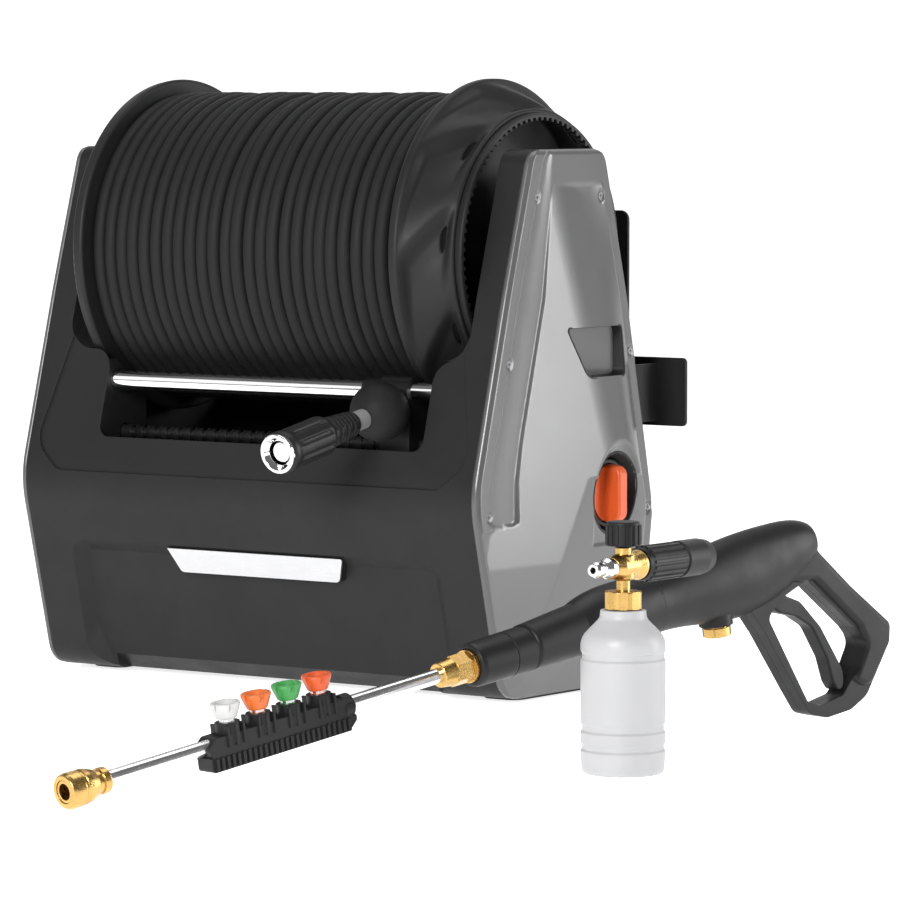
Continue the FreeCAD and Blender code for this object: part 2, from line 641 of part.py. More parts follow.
def pulley(y, z, shaft_radius):
    """Belt pulley with a flange on each side."""
    x = PULLEY_X
    return turned([(x, shaft_radius), (x, PULLEY_R + 1.5), (x + 1, PULLEY_R + 1.5), (x + 1, PULLEY_R),
                   (x + PULLEY_WIDTH - 1, PULLEY_R), (x + PULLEY_WIDTH - 1, PULLEY_R + 1.5),
                   (x + PULLEY_WIDTH, PULLEY_R + 1.5), (x + PULLEY_WIDTH, shaft_radius)], V(0, y, z),
                  V(1, 0, 0))


def timing_belt():
    """Belt from the reel's pulley down to the leadscrew's, a little clear of both."""
    span = math.hypot(REEL_Y - SCREW_Y, REEL_Z - SCREW_Z)
    inner = PULLEY_R + 0.3
    outer = inner + 1.1

    def loop(radius):
        at = lambda a, b: V(PULLEY_X + 1.4, a, b)
        edges = [Part.makeLine(at(radius, 0), at(radius, span)),
                 Part.Arc(at(radius, span), at(0, span + radius), at(-radius, span)).toShape(),
                 Part.makeLine(at(-radius, span), at(-radius, 0)),
                 Part.Arc(at(-radius, 0), at(0, -radius), at(radius, 0)).toShape()]
        return Part.Face(Part.Wire(edges)).extrude(V(PULLEY_WIDTH - 2.8, 0, 0))

    belt = loop(outer).cut(loop(inner))
    lean = math.degrees(math.atan2(REEL_Y - SCREW_Y, REEL_Z - SCREW_Z))
    belt.rotate(V(0, 0, 0), V(1, 0, 0), -lean)
    belt.translate(V(0, SCREW_Y, SCREW_Z))
    return belt


def ratchet_pawl():
    """Sprung pawl inside the ratchet ring, lifted just clear of its teeth."""
    x0, x1 = RING_X + 1, RING_X + 5
    outline = [(-20, -86, 4), (12, -86, 4), (18, -94, 3), (7, -105.2, 0.5), (5.2, -105.2, 0.5), (-2, -98, 3),
               (-20, -98, 4)]
    arm = prism_x([(REEL_Y + y, REEL_Z + z, radius) for y, z, radius in outline], x0, x1)
    pin = rod(3, V(x1 - 1, PAWL_Y, PAWL_Z), V(CHEEK_X - 0.1, PAWL_Y, PAWL_Z))
    return arm.fuse(pin).removeSplitter()


# ---- hose guide and hose end -----------------------------------------------------------------

def guide_rod():
    bar = turned([(-214, 0), (-214, ROD_R, 1), (214, ROD_R, 1), (214, 0)], V(0, ROD_Y, ROD_Z), V(1, 0, 0))
    return bar


def leadscrew():
    """Screw whose ribs are set at half the hose's pitch along the middle."""
    pitch = HOSE_R
    count = 48
    start = -pitch * count / 2
    profile = [(-214, 0), (-214, LEADSCREW_R), (start, LEADSCREW_R)]
    for index in range(count):
        rib = start + pitch * index
        profile += [(rib + 0.8, LEADSCREW_R - 1.4), (rib + 3.0, LEADSCREW_R - 1.4), (rib + 3.8, LEADSCREW_R),
                    (rib + pitch, LEADSCREW_R)]
    profile += [(225.5, LEADSCREW_R), (225.5, 0)]
    return turned(profile, V(0, SCREW_Y, SCREW_Z), V(1, 0, 0))


def carriage():
    """Block that slides on the rod, is driven by the screw and leads the hose between them."""
    middle_left, middle_right = 120, CARRIAGE_RIGHT
    body = prism_x([(-110, 189, 4), (-74, 189, 4), (-74, 240, 6), (-88, 259, 6), (-108, 261, 6)],
                   middle_left, middle_right)
    sleeve = rod(ROD_R + 2.6, V(CARRIAGE_LEFT, ROD_Y, ROD_Z), V(CARRIAGE_RIGHT, ROD_Y, ROD_Z))
    nut = rod(LEADSCREW_R + 4, V(CARRIAGE_LEFT + 6, SCREW_Y, SCREW_Z), V(CARRIAGE_RIGHT, SCREW_Y, SCREW_Z))
    body = body.fuse([sleeve, nut])
    body = body.cut(rod(ROD_R + RUNNING, V(0, ROD_Y, ROD_Z), V(240, ROD_Y, ROD_Z)))
    body = body.cut(rod(LEADSCREW_R + RUNNING, V(0, SCREW_Y, SCREW_Z), V(240, SCREW_Y, SCREW_Z)))
    body = body.cut(rod(HOSE_R + 0.6, BALL_CENTRE, BALL_CENTRE + hose_line() * 80))
    body = body.cut(Part.makeSphere(BALL_R + 0.1, BALL_CENTRE))
    return body.cut(reel_turned([(90, 0), (90, FLANGE_R + 2), (160, FLANGE_R + 2),
                                 (160, 0)])).removeSplitter()


def hose_start():
    """Place on the hose's axis right under the reel, where it leaves the coil."""
    return V(HOSE_X, REEL_Y, REEL_Z - coil_radius() - HOSE_R - 0.8)


def hose_line():
    """Direction of the hose from the ball stop back to the reel."""
    return (hose_start() - BALL_CENTRE).normalize()


def hose_lead():
    """The stretch of hose between the coil and the ball stop."""
    return rod(HOSE_R, hose_start(), BALL_CENTRE + hose_line() * BALL_FACE)


def tail_axis():
    drop = math.radians(TAIL_DROP)
    return V(0, -math.cos(drop), -math.sin(drop))


def tail(profile):
    """Piece of the hose end, turned about its axis, measured from the ball stop's centre."""
    return turned(profile, BALL_CENTRE, tail_axis())


def ball_stop():
    """Rubber ball that stops the hose end at the guide, with a flat face where the hose meets each side."""
    ball = Part.makeSphere(BALL_R, BALL_CENTRE)
    ball = ball.common(rod(BALL_R + 6, BALL_CENTRE - hose_line() * 40, BALL_CENTRE + hose_line() * BALL_FACE))
    return ball.common(rod(BALL_R + 6, BALL_CENTRE - tail_axis() * 40, BALL_CENTRE + tail_axis() * BALL_FACE))


def hose_ferrule():
    return tail([(BALL_FACE, 0), (BALL_FACE, 8), (38, 8, 1.5), (38, 0)])


def strain_relief():
    """Sleeve that thickens towards the nut."""
    end = NUT_START - 1
    return tail([(38.2, 5.5), (38.2, 9.5), (42, 10.5), (end - 4, 12.6, 1), (end, 12, 0.6), (end, 5.5)])


def hose_insert():
    """Nipple down the middle of the hose end, with its collar inside the nut and a round plug in front."""
    collar = NUT_END - 40
    return tail([(38.1, 0), (38.1, 5.4), (collar, 5.4), (collar, 10.9, 0.5), (collar + 8, 10.9, 0.5),
                 (collar + 8, PLUG_R), (NUT_END - 6, PLUG_R, 1), (NUT_END - 6, 0)])


def hose_nut():
    """Union nut on the nipple's collar."""
    collar = NUT_END - 40.1
    return tail([(NUT_START, 6), (NUT_START, 13, 2), (NUT_START + 8, NUT_R - 0.8, 1),
                 (NUT_END - 14, NUT_R, 1), (NUT_END - 3, NUT_R, 1), (NUT_END - 3, 11.1), (collar, 11.1),
                 (collar, 6)])


def nut_ring():
    """Bright metal lining of the nut's mouth."""
    lining = NUT_END - 26
    return tail([(lining, 9.9), (lining, 11), (NUT_END - 3, 11), (NUT_END - 3, NUT_R - 0.7),
                 (NUT_END, NUT_R - 0.7, 1), (NUT_END, 13, 1), (NUT_END - 4, 9.9)])


# ---- gun, lance and nozzles ------------------------------------------------------------------

def in_gun(shape):
    """Places a shape from the gun's frame (u, w, v) into the machine's frame."""
    placed = shape.copy()
    heading = FreeCAD.Rotation(V(0, 0, 1), GUN_HEADING)
    incline = FreeCAD.Rotation(V(0, 1, 0), -GUN_INCLINE)
    placed.Placement = FreeCAD.Placement(GUN_TIP, heading.multiply(incline)).multiply(shape.Placement)
    return placed


def gun_turned(profile):
    """Piece turned about the lance's axis. The profile is (u, radius)."""
    return turned(profile, V(0, 0, 0), V(1, 0, 0))


def gun_plate(corners, half_width):
    """Plate in the gun's plane. The corners are (u, v, radius)."""
    return prism_y(corners, -half_width, half_width)


def oval(u, middle, half_height, half_width):
    """Upright oval section of the barrel, at right angles to the lance, which starts at its side."""
    curve = Part.Ellipse(V(u, 0, middle + half_height), V(u, half_width, middle), V(u, 0, middle))
    return Part.Wire(curve.toShape(math.pi / 2, 5 * math.pi / 2))


def trigger_opening():
    """Space inside the guard, where the fingers and the trigger are."""
    return [(693, -20, 5), (722, -12, 5), (768, -60, 4), (779, -75, 6), (768, -92, 8), (748, -110, 8),
            (722, -112, 8), (709, -106, 6), (676, -32, 6)]


def gun_body():
    """Barrel, grip and guard as one form, before it is parted."""
    sections = [oval(431, 0.6, 17.4, 17.4), oval(486, 2, 21, 19.5), oval(567, 4.7, 23.2, 20.5),
                oval(621, 5, 29, 20.5), oval(664, 5.8, 31.6, 20), oval(700, 10, 27, 18.5),
                oval(722, 14, 20.5, 16.5), oval(733, 15.5, 15, 14)]
    barrel = Part.makeLoft(sections, True, False)
    grip = gun_plate([(702, 22, 8), (731, 24, 4), (736, 8, 14), (768, -27, 40), (807, -65, 7), (804, -80, 10),
                      (776, -112, 12), (759, -100, 4), (777, -76, 8), (771, -60, 6), (728, -14, 6),
                      (702, -10, 4)], 13)
    grip = grip.makeFillet(5, edges_where(grip, lambda c: abs(c.y) > 12.9))
    guard = gun_plate([(657, -20, 4), (720, 0, 4), (800, -66, 8), (803, -82, 10), (774, -116, 18),
                       (755, -123, 16), (728, -123, 12), (710, -116, 12), (699, -96, 10), (672, -44, 16)], 9)
    inlet_boss = rod(13, V(INLET_U, 0, -27), V(INLET_U, 0, -6))
    sleeve = gun_turned([(377, 0), (377, 15.6, 2), (381, 16.6, 1), (431, 17.4), (431, 0)])
    form = barrel.fuse([grip, guard, inlet_boss, sleeve])
    # two thin grooves round the barrel's front
    for u in (411, 436):
        form = form.cut(gun_turned([(u, 16.6), (u, 24), (u + 1, 24), (u + 1, 16.6)]))
    passage = gun_turned([(376, 0), (376, 12.6), (400, 12.6), (400, 8.2), (655, 8.2), (655, 0)])
    form = form.cut(passage).cut(prism_y(trigger_opening(), -30, 30))
    # slot for the trigger's root and bore for the inlet
    root = gun_plate([(670, -36, 2), (704, -36, 2), (704, 4, 2), (670, 4, 2)], 8.3)
    form = form.cut(root)
    inlet_bore = rod(9.1, V(INLET_U, 0, -40), V(INLET_U, 0, 0))
    return form.cut(inlet_bore)


def gun_half(side):
    keep = block(300, 900, 0.1, 60, -200, 100) if side > 0 else block(300, 900, -60, -0.1, -200, 100)
    return in_gun(gun_body().common(keep))


def gun_valve():
    """Brass tube and valve block inside the gun, from the inlet to the lance's thread."""
    tube = gun_turned([(386, 0), (386, 6), (402, 6), (402, 8), (652, 8, 1), (652, 0)])
    stub = rod(8.2, V(INLET_U, 0, -27), V(INLET_U, 0, 0))
    return in_gun(tube.fuse(stub).removeSplitter())


def gun_inlet():
    """Threaded inlet for the hose, under the barrel."""
    thread = turned([(27.2, 4), (27.2, 9), (28.5, 9), (28.5, INLET_R), (35.5, INLET_R, 1), (35.5, 4)],
                    V(INLET_U, 0, 0), V(0, 0, -1))
    return in_gun(thread)


def lance_nut():
    """Brass nut that holds the lance in the gun."""
    hexagon = [V(11.6 * math.cos(math.pi * k / 3), 11.6 * math.sin(math.pi * k / 3), 0) for k in range(7)]
    flats = Part.Face(Part.makePolygon(hexagon)).extrude(V(0, 0, 16))
    flats = place(flats, V(358, 0, 0), V(1, 0, 0))
    sleeve = gun_turned([(346, 0), (346, 9, 1), (358, 10.4), (358, 0)])
    spigot = gun_turned([(374, 0), (374, 12.3), (385, 12.3), (385, 0)])
    bore = gun_turned([(340, 0), (340, LANCE_R), (386, LANCE_R), (386, 0)])
    return in_gun(flats.fuse([sleeve, spigot]).removeSplitter().cut(bore))


def lance_tube():
    return in_gun(gun_turned([(LANCE_START, 3), (LANCE_START, LANCE_R), (LANCE_END, LANCE_R),
                              (LANCE_END, 3)]))


def coupler_body():
    """Brass socket on the lance's tip that a nozzle plugs into."""
    return in_gun(gun_turned([(0.5, 5.9), (0.5, 8.2, 0.6), (30, 8.2), (30, 9.4, 0.6), (36, 9.4, 1),
                              (36, LANCE_R), (LANCE_START, LANCE_R), (LANCE_START, 3), (22, 3),
                              (22, 5.9)]))


def coupler_sleeve():
    """Sprung sleeve that is pulled back to free the nozzle."""
    profile = [(0, 8.3), (0, 11.6, 1), (3, 12.8, 1), (11, 12.8, 1), (12, 11.9), (13.5, 11.9),
               (14.5, 12.6, 0.6), (18.5, 12.2, 1), (25, 10, 1), (25, 8.3)]
    return in_gun(gun_turned(profile))


def nozzle_holder():
    """Moulded strip clipped on the lance, with a ribbed socket for each nozzle and ribs along its foot."""
    spine = gun_plate([(126, -8, 3), (254, -8, 3), (260, -1, 4), (256, 6.6, 3), (130, 6.6, 3),
                       (122, 0, 3)], 8.4)
    foot = gun_plate([(124, -17.5, 3), (251, -17.5, 4), (259, -11, 3), (259, -7), (124, -7)], 8)
    towers = [rod(9, V(u, 0, 0), V(u, 0, SOCKET_TOP)) for u in NOZZLE_SITES]
    for u in NOZZLE_SITES:
        for offset in (-7, 0, 7):
            rib = block(u + offset - 0.9, u + offset + 0.9, -9.6, 9.6, -2, SOCKET_TOP - 1)
            towers.append(rib)
    ribs = []
    for index in range(26):
        start = 127 + 4.9 * index
        ribs.append(block(start, start + 2.4, -9.6, 9.6, -17, -7.5))
    lobe = rod(9.3, V(250, 0, -1), V(258, 0, -1))
    body = spine.fuse([foot, lobe] + towers + ribs)
    body = body.cut(rod(LANCE_R, V(100, 0, 0), V(280, 0, 0)))
    for u in NOZZLE_SITES:
        body = body.cut(rod(SOCKET_R, V(u, 0, SOCKET_FLOOR), V(u, 0, SOCKET_FLOOR + 20)))
    return in_gun(body.removeSplitter())


def nozzle(u):
    """Spray nozzle: a steel plug with a moulded cup, which shows its spray angle by its colour."""
    stem = turned([(SOCKET_FLOOR + 0.3, 1.2), (SOCKET_FLOOR + 0.3, 4.8, 0.8),
                   (SOCKET_FLOOR + 4, SOCKET_R - 0.3), (CAP_BASE + 2.9, SOCKET_R - 0.3),
                   (CAP_BASE + 2.9, 1.2)], V(u, 0, 0))
    top = CAP_BASE + CAP_HEIGHT
    cap = turned([(CAP_BASE, SOCKET_R - 0.3), (CAP_BASE, 7.3, 0.6), (top - 3, 10.6, 1), (top, 11.2, 1.2),
                  (top, 7.4, 0.6), (top - 3, 5.2), (top - 3, 0), (CAP_BASE + 2.9, 0),
                  (CAP_BASE + 2.9, SOCKET_R - 0.3)], V(u, 0, 0))
    notches = []
    for index in range(6):
        notch = block(u + 9.2, u + 13, -1.4, 1.4, CAP_BASE + 3, top + 1)
        notch.rotate(V(u, 0, 0), V(0, 0, 1), 60 * index + 15)
        notches.append(notch)
    cap = cap.cut(Part.makeCompound(notches))
    return in_gun(Part.makeCompound([stem, cap]))


def gun_trigger():
    outline = [(680, -22, 3), (682, -6, 4), (694, -6, 4), (700, -20, 6), (715, -28, 12), (734, -52, 16),
               (754, -92, 20), (752, -104, 5), (746, -107, 4), (741, -98, 8), (737, -78, 20), (724, -50, 16),
               (708, -38, 12), (692, -32, 8)]
    blade = gun_plate(outline, 7)
    blade = blade.makeFillet(1.6, edges_where(blade, lambda c: abs(c.y) > 6.9))
    slot = gun_plate([(727, -48, 1), (734, -40, 1), (762, -78, 1), (760, -90, 1), (741.5, -90, 1),
                      (739.2, -76, 1)], 3)
    blade = blade.cut(slot)
    pivot = rod(3, V(TRIGGER_PIVOT[0], -8.2, TRIGGER_PIVOT[1]), V(TRIGGER_PIVOT[0], 8.2, TRIGGER_PIVOT[1]))
    latch_pin = rod(1.2, V(LATCH_PIVOT[0], -3.1, LATCH_PIVOT[1]), V(LATCH_PIVOT[0], 3.1, LATCH_PIVOT[1]))
    return in_gun(blade.fuse([pivot, latch_pin]).removeSplitter())


def trigger_latch():
    """Safety lever folded into the trigger's slot."""
    lever = gun_plate([(728.5, -50, 0.8), (732.5, -51.5, 1), (747.3, -78, 1.5), (746.8, -83, 2),
                       (742.4, -83, 2), (742, -78, 1)], 2.6)
    bore = rod(1.2 + RUNNING, V(LATCH_PIVOT[0], -5, LATCH_PIVOT[1]), V(LATCH_PIVOT[0], 5, LATCH_PIVOT[1]))
    return in_gun(lever.cut(bore))


# ---- foam cannon -----------------------------------------------------------------------------

def foam_bottle():
    outer = [(0, 0), (0, BOTTLE_R - 1, 4), (14, BOTTLE_R, 6), (16.5, BOTTLE_R, 0.8),
             (18, BOTTLE_R - 1.1, 0.8), (21, BOTTLE_R - 1.1, 0.8), (22.5, BOTTLE_R, 0.8),
             (30, BOTTLE_R, 0.8), (31.5, BOTTLE_R - 1.1, 0.8), (35.5, BOTTLE_R - 1.1, 0.8),
             (37, BOTTLE_R, 0.8), (82, BOTTLE_R, 0.8), (83.5, BOTTLE_R - 1.1, 0.8),
             (87, BOTTLE_R - 1.1, 0.8), (88.5, BOTTLE_R, 0.8), (98, BOTTLE_R, 14), (112, 17, 6),
             (118, 16.4, 0.8), (118, 10.6), (128.5, 10.6, 0.6), (128.5, 0)]
    inner = [(2, 0), (2, BOTTLE_R - 4, 4), (97, BOTTLE_R - 3.2, 13), (113, 10, 4), (116, 8.8), (130, 8.8),
             (130, 0)]
    return turned(outer, BOTTLE_AT).cut(turned(inner, BOTTLE_AT))


def bottle_collar():
    """Brass collar nut with flats."""
    turns = [math.radians(45 * k + 10) for k in range(9)]
    points = [V(14.2 * math.cos(turn), 14.2 * math.sin(turn), COLLAR_Z) for turn in turns]
    nut = Part.Face(Part.makePolygon(points)).extrude(V(0, 0, COLLAR_TOP - COLLAR_Z))
    nut = nut.common(turned([(COLLAR_Z, 0), (COLLAR_Z, 13.6, 0.8), (COLLAR_TOP, 13.6, 0.8), (COLLAR_TOP, 0)]))
    nut.translate(BOTTLE_AT)
    bore = turned([(COLLAR_Z - 1, 0), (COLLAR_Z - 1, 10.9), (129, 10.9), (129, 5), (COLLAR_TOP + 1, 5),
                   (COLLAR_TOP + 1, 0)], BOTTLE_AT)
    return nut.cut(bore)


def foam_axis_turned(profile):
    """Piece turned about the foam cannon's level axis, which runs along Y. The profile is (y, radius)."""
    return turned(profile, BOTTLE_AT + V(0, 0, HEAD_Z), V(0, 1, 0))


def foam_body():
    """Brass body: a level passage, an upright stem to the collar and a gland on top."""
    level = foam_axis_turned([(-15, 0), (-15, 7, 1), (-8, 9.4, 1), (9, 9.4, 1), (16, 11, 1),
                              (18, 11, 0.8), (18, 0)])
    upright = turned([(129.2, 0), (129.2, 5), (139, 5), (140.5, 8.6, 1), (157, 8.6, 1), (158, 6),
                      (163, 6, 0.6), (163, 0)], BOTTLE_AT)
    body = level.fuse(upright)
    passage = foam_axis_turned([(-16, 0), (-16, 3.2), (19, 3.2), (19, 0)])
    suction = turned([(129, 0), (129, 3.05), (HEAD_Z, 3.05), (HEAD_Z, 0)], BOTTLE_AT)
    gland = turned([(154, 0), (154, 3 + RUNNING), (164, 3 + RUNNING), (164, 0)], BOTTLE_AT)
    shank = foam_axis_turned([(12, 0), (12, 6 + RUNNING), (19, 6 + RUNNING), (19, 0)])
    return body.cut(passage).cut(suction).cut(gland).cut(shank).removeSplitter()


def foam_plug():
    """Steel quick plug that goes into the lance's coupler."""
    return foam_axis_turned([(-39, 2.4), (-39, 4.6, 0.8), (-36, 5.8, 0.8), (-31, 5.8, 0.6), (-30, 4.7),
                             (-27, 4.7), (-26, 5.8, 0.6), (-22, 7.6, 0.8), (-17, 7.6, 0.8), (-15.1, 6.4),
                             (-15.1, 2.4)])


def foam_knob():
    """Dosing knob on its spindle."""
    grip = knurled(13, 0.9, 16, 165.2, 179)
    top = turned([(179, 0), (179, 12.2), (181.6, 12.2, 1.6), (181.6, 0)])
    skirt = turned([(164.2, 0), (164.2, 12.4), (165.4, 12.4), (165.4, 0)])
    spindle = Part.makeCylinder(3, 10, V(0, 0, 154.6))
    knob = grip.fuse([top, skirt, spindle]).removeSplitter()
    knob.translate(BOTTLE_AT)
    return knob


def foam_nozzle():
    """Spray head with a ribbed grip, turned to change the fan's width."""
    grip = place(knurled(13.4, 1.1, 18, 24, 66), BOTTLE_AT + V(0, 0, HEAD_Z), V(0, 1, 0))
    core = foam_axis_turned([(12.3, 0), (12.3, 6), (19, 6), (19, 11.5), (24.4, 12.6), (24.4, 0)])
    tip = foam_axis_turned([(65.6, 0), (65.6, 12.4), (69, 12.4), (69, 13.6, 1), (96, 13.6, 2),
                            (106, 12.2, 2), (106, 0)])
    head = grip.fuse([core, tip])
    bore = foam_axis_turned([(12, 0), (12, 2.6), (70, 2.6), (76, 9.4), (108, 9.4), (108, 0)])
    return head.cut(bore).removeSplitter()


def suction_tube():
    return turned([(9, 2), (9, 3), (129.2, 3), (129.2, 2)], BOTTLE_AT)


# ---- export ----------------------------------------------------------------------------------

NODES = {
    "front_cover": front_cover, "rear_cover": rear_cover, "base_tray": base_tray,
    "foot_frame": foot_frame, "right_side_panel": side_panel, "left_side_panel": left_side_panel,
    "panel_screws": panel_screws, "badge_plate": badge_plate, "switch_bezel": switch_bezel,
    "switch_knob": switch_knob, "frame_cheeks": frame_cheeks, "drum_bearings": drum_bearings,
    "wall_bracket": wall_bracket, "motor": motor, "pump_head": pump_head, "pressure_pipe": pressure_pipe,
    "water_inlet": water_inlet, "cable_gland": cable_gland, "guide_rod": guide_rod,
    "timing_belt": timing_belt, "ratchet_pawl": ratchet_pawl, "reel_shaft": reel_shaft,
    "drum_core": drum_core, "left_flange": left_flange, "right_flange": right_flange,
    "ring_gear": ring_gear, "hose_coil": hose_coil, "leadscrew": leadscrew,
    "drum_pulley": lambda: pulley(REEL_Y, REEL_Z, SHAFT_R),
    "screw_pulley": lambda: pulley(SCREW_Y, SCREW_Z, LEADSCREW_R),
    "carriage": carriage, "hose_lead": hose_lead, "ball_stop": ball_stop, "hose_ferrule": hose_ferrule,
    "strain_relief": strain_relief, "hose_insert": hose_insert, "hose_nut": hose_nut,
    "nut_ring": nut_ring, "gun_shell_left": lambda: gun_half(1), "gun_shell_right": lambda: gun_half(-1),
    "gun_valve": gun_valve, "gun_inlet": gun_inlet, "lance_nut": lance_nut, "lance_tube": lance_tube,
    "coupler_body": coupler_body, "coupler_sleeve": coupler_sleeve, "nozzle_holder": nozzle_holder,
    "gun_trigger": gun_trigger, "trigger_latch": trigger_latch, "foam_bottle": foam_bottle,
    "bottle_collar": bottle_collar, "foam_body": foam_body, "foam_plug": foam_plug,
    "foam_knob": foam_knob, "foam_nozzle": foam_nozzle, "suction_tube": suction_tube,
}


def build_all():
    os.makedirs("parts", exist_ok=True)
    shapes = {name: make() for name, make in NODES.items()}
    shapes.update({name: nozzle(u) for name, u in zip(NOZZLE_NAMES, NOZZLE_SITES)})
    for name, shape in shapes.items():
        box = shape.BoundBox
        spans = [f"{low:7.1f}..{high:7.1f}" for low, high in
                 ((box.XMin, box.XMax), (box.YMin, box.YMax), (box.ZMin, box.ZMax))]
        print(f"{name:18} solids {len(shape.Solids)} valid {shape.isValid()}", *spans)
        shape.exportStep(f"parts/{name}.step")


build_all()
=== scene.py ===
import json
import math
import random

import bpy
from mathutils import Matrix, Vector


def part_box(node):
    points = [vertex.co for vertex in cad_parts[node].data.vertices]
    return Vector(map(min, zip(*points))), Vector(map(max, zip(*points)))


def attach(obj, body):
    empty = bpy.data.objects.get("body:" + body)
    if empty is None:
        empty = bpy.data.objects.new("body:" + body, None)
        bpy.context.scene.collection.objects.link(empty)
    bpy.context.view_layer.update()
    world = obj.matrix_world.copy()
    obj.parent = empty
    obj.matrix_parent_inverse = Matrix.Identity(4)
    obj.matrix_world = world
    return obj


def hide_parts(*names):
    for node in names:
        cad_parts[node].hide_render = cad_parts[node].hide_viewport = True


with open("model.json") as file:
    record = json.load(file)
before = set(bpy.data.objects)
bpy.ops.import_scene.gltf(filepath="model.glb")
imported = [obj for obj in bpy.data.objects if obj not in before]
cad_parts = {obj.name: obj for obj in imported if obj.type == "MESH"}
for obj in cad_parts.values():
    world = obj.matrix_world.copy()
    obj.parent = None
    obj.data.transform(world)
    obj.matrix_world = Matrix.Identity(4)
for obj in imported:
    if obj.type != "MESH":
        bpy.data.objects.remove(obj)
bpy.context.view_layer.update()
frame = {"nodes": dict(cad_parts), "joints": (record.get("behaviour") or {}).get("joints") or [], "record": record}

# Looks of the hose-reel pressure washer set. Metres, in the frame's own axes: +Z up, the front faces -Y,
# and the reel turns about X. Places come from the frame's nodes, joints and mounts.

MM = 0.001
TURN = 2 * math.pi

# camera
VIEW_AZIMUTH = 35.5
VIEW_PITCH = 4.0
VIEW_DISTANCE = 4.333
VIEW_AIM = Vector((0.0793, 0.0455, 0.1902))
LENS = 208
SENSOR_WIDTH = 36

# lights: place, aim, size and power in watts
SET_MIDDLE = (0.1, -0.1, 0.2)
LIGHTS = {
    "key": ((1.0, -3.1, 1.3), SET_MIDDLE, (1.0, 1.0), 92),
    "fill": ((-2.8, -2.4, 1.6), SET_MIDDLE, (2.0, 2.0), 12),
    "top": ((0.0, 0.3, 3.2), SET_MIDDLE, (2.4, 2.4), 42),
    # a softbox behind the right side, which the panel's front facet mirrors to the camera
    "side": ((2.3, 1.5, 0.6), (0.24, 0.0, 0.25), (0.85, 1.7), 50),
}
WORLD_GLOW = 0.15
FLOOR_GLOW = 0.8

# hose winding
HOSE_RADIUS = 5.95 * MM
COIL_TURNS = 25
STEPS_PER_TURN = 90
HOSE_SIDES = 14

# side panels, in millimetres: corners as (depth y, height z, radius), heights above the panel's own plane
PANEL_OUTLINE = [(-59, 442, 16), (-94.5, 324, 300), (-138, 166, 80), (-98, 4, 24),
                 (97, 4, 24), (119.5, 150, 40), (82, 318, 300), (47, 442, 16)]
PANEL_TOP = PANEL_OUTLINE[0][1]
PANEL_BOTTOM = PANEL_OUTLINE[3][1]
PANEL_X = 233
PANEL_BACK = -4
# chamfered border, and the body that stands inside it
PANEL_BORDER = 2.4
PANEL_CHAMFER = 3.2
CHAMFER_DROP = 3.0
REAR_BORDER_WIDTH = 14
BODY_TOP = 412
BODY_LEAST = 0.6
# groove beside the front border: its wall's distances from the edge, and its depths in front and behind
GROOVE_WALL = (14, 21)
GROOVE_DEPTHS = (1.8, 1.2)
GROOVE_BOTTOM = 139
# the body's two facets and its lower field: heights, slopes, blends, and edges as (z, y) from the top down
FACET_BASE = 1.2
FACET_SLOPE = 0.1
REAR_SLOPE = 0.03
REAR_ROLL = 34
REAR_END = 1.5
FIELD_SLOPE = 0.05
FIELD_TOP = 176
FACET_BLEND = 1.6
FIELD_BLEND = 0.5
GROOVE_REAR = [(442, -30), (412, -31), (322, -44), (212, -75), (178, -82), (0, -82)]
FACET_FOOT = [(442, -23), (110, -118), (0, -96)]
FACET_CREST = [(442, -38), (200, 36), (0, 98)]
FIELD_EDGE = [(175, 8), (81, -44), (0, -88)]
FOOT_SLOPE = 0.26
FOOT_AT = 13
FOOT_DROP = 0.6
# arch over the switch, the switch's well, the screws and the grip
ARCH_AT = (52, 152)
ARCH_RADII = (36, 50)
ARCH_BOTTOM = 120
ARCH_DEPTH = 0.8
SWITCH_AT = (50, 161)
SWITCH_R = 28.4
WELL_R = 33.5
WELL_DEPTH = 3.5
SCREWS_AT = [(-51, 404), (40, 404), (-90, 272), (-118, 152), (84, 276), (110, 146)]
SCREW_SEAT_R = 4.4
SCREW_SEAT = 0.1
GRIP_OUTLINE = [(-16, 298, 3), (66, 298, 5), (67, 257, 6), (10, 257, 14)]
GRIP_DEPTH = 15
GRIP_FLOOR_SHARE = 0.93

# right flange
FLANGE_SCOOPS = 9
SCOOP_DEPTH = 8 * MM
SCOOP_TWIST = 0.62

# from the lance's tip to the socket's mount, from the ball to the nut's joint, from the gun's axis to a cap
SOCKET_DEPTH = 10 * MM
NUT_FROM_BALL = 100 * MM
NOZZLE_PLUG_TOP = 16.7 * MM
NOZZLES = ["nozzle_white", "nozzle_amber", "nozzle_green", "nozzle_red"]

JOINTS = {joint["name"]: joint for joint in frame["joints"]}
MOUNTS = {mount["name"]: mount for mount in frame["record"]["mounts"]}
REEL_CENTRE = Vector(JOINTS["reel_spin"]["pos_m"])
GUN_U = Vector(JOINTS["sleeve_pull"]["axis"])
GUN_V = Vector(JOINTS["white_nozzle_pull"]["axis"])
GUN_TIP = Vector(MOUNTS["lance_socket"]["pos_m"]) - GUN_U * SOCKET_DEPTH
TAIL = Vector(JOINTS["nut_spin"]["axis"])
BALL_CENTRE = Vector(JOINTS["nut_spin"]["pos_m"]) - TAIL * NUT_FROM_BALL


# ---- materials -------------------------------------------------------------------------------

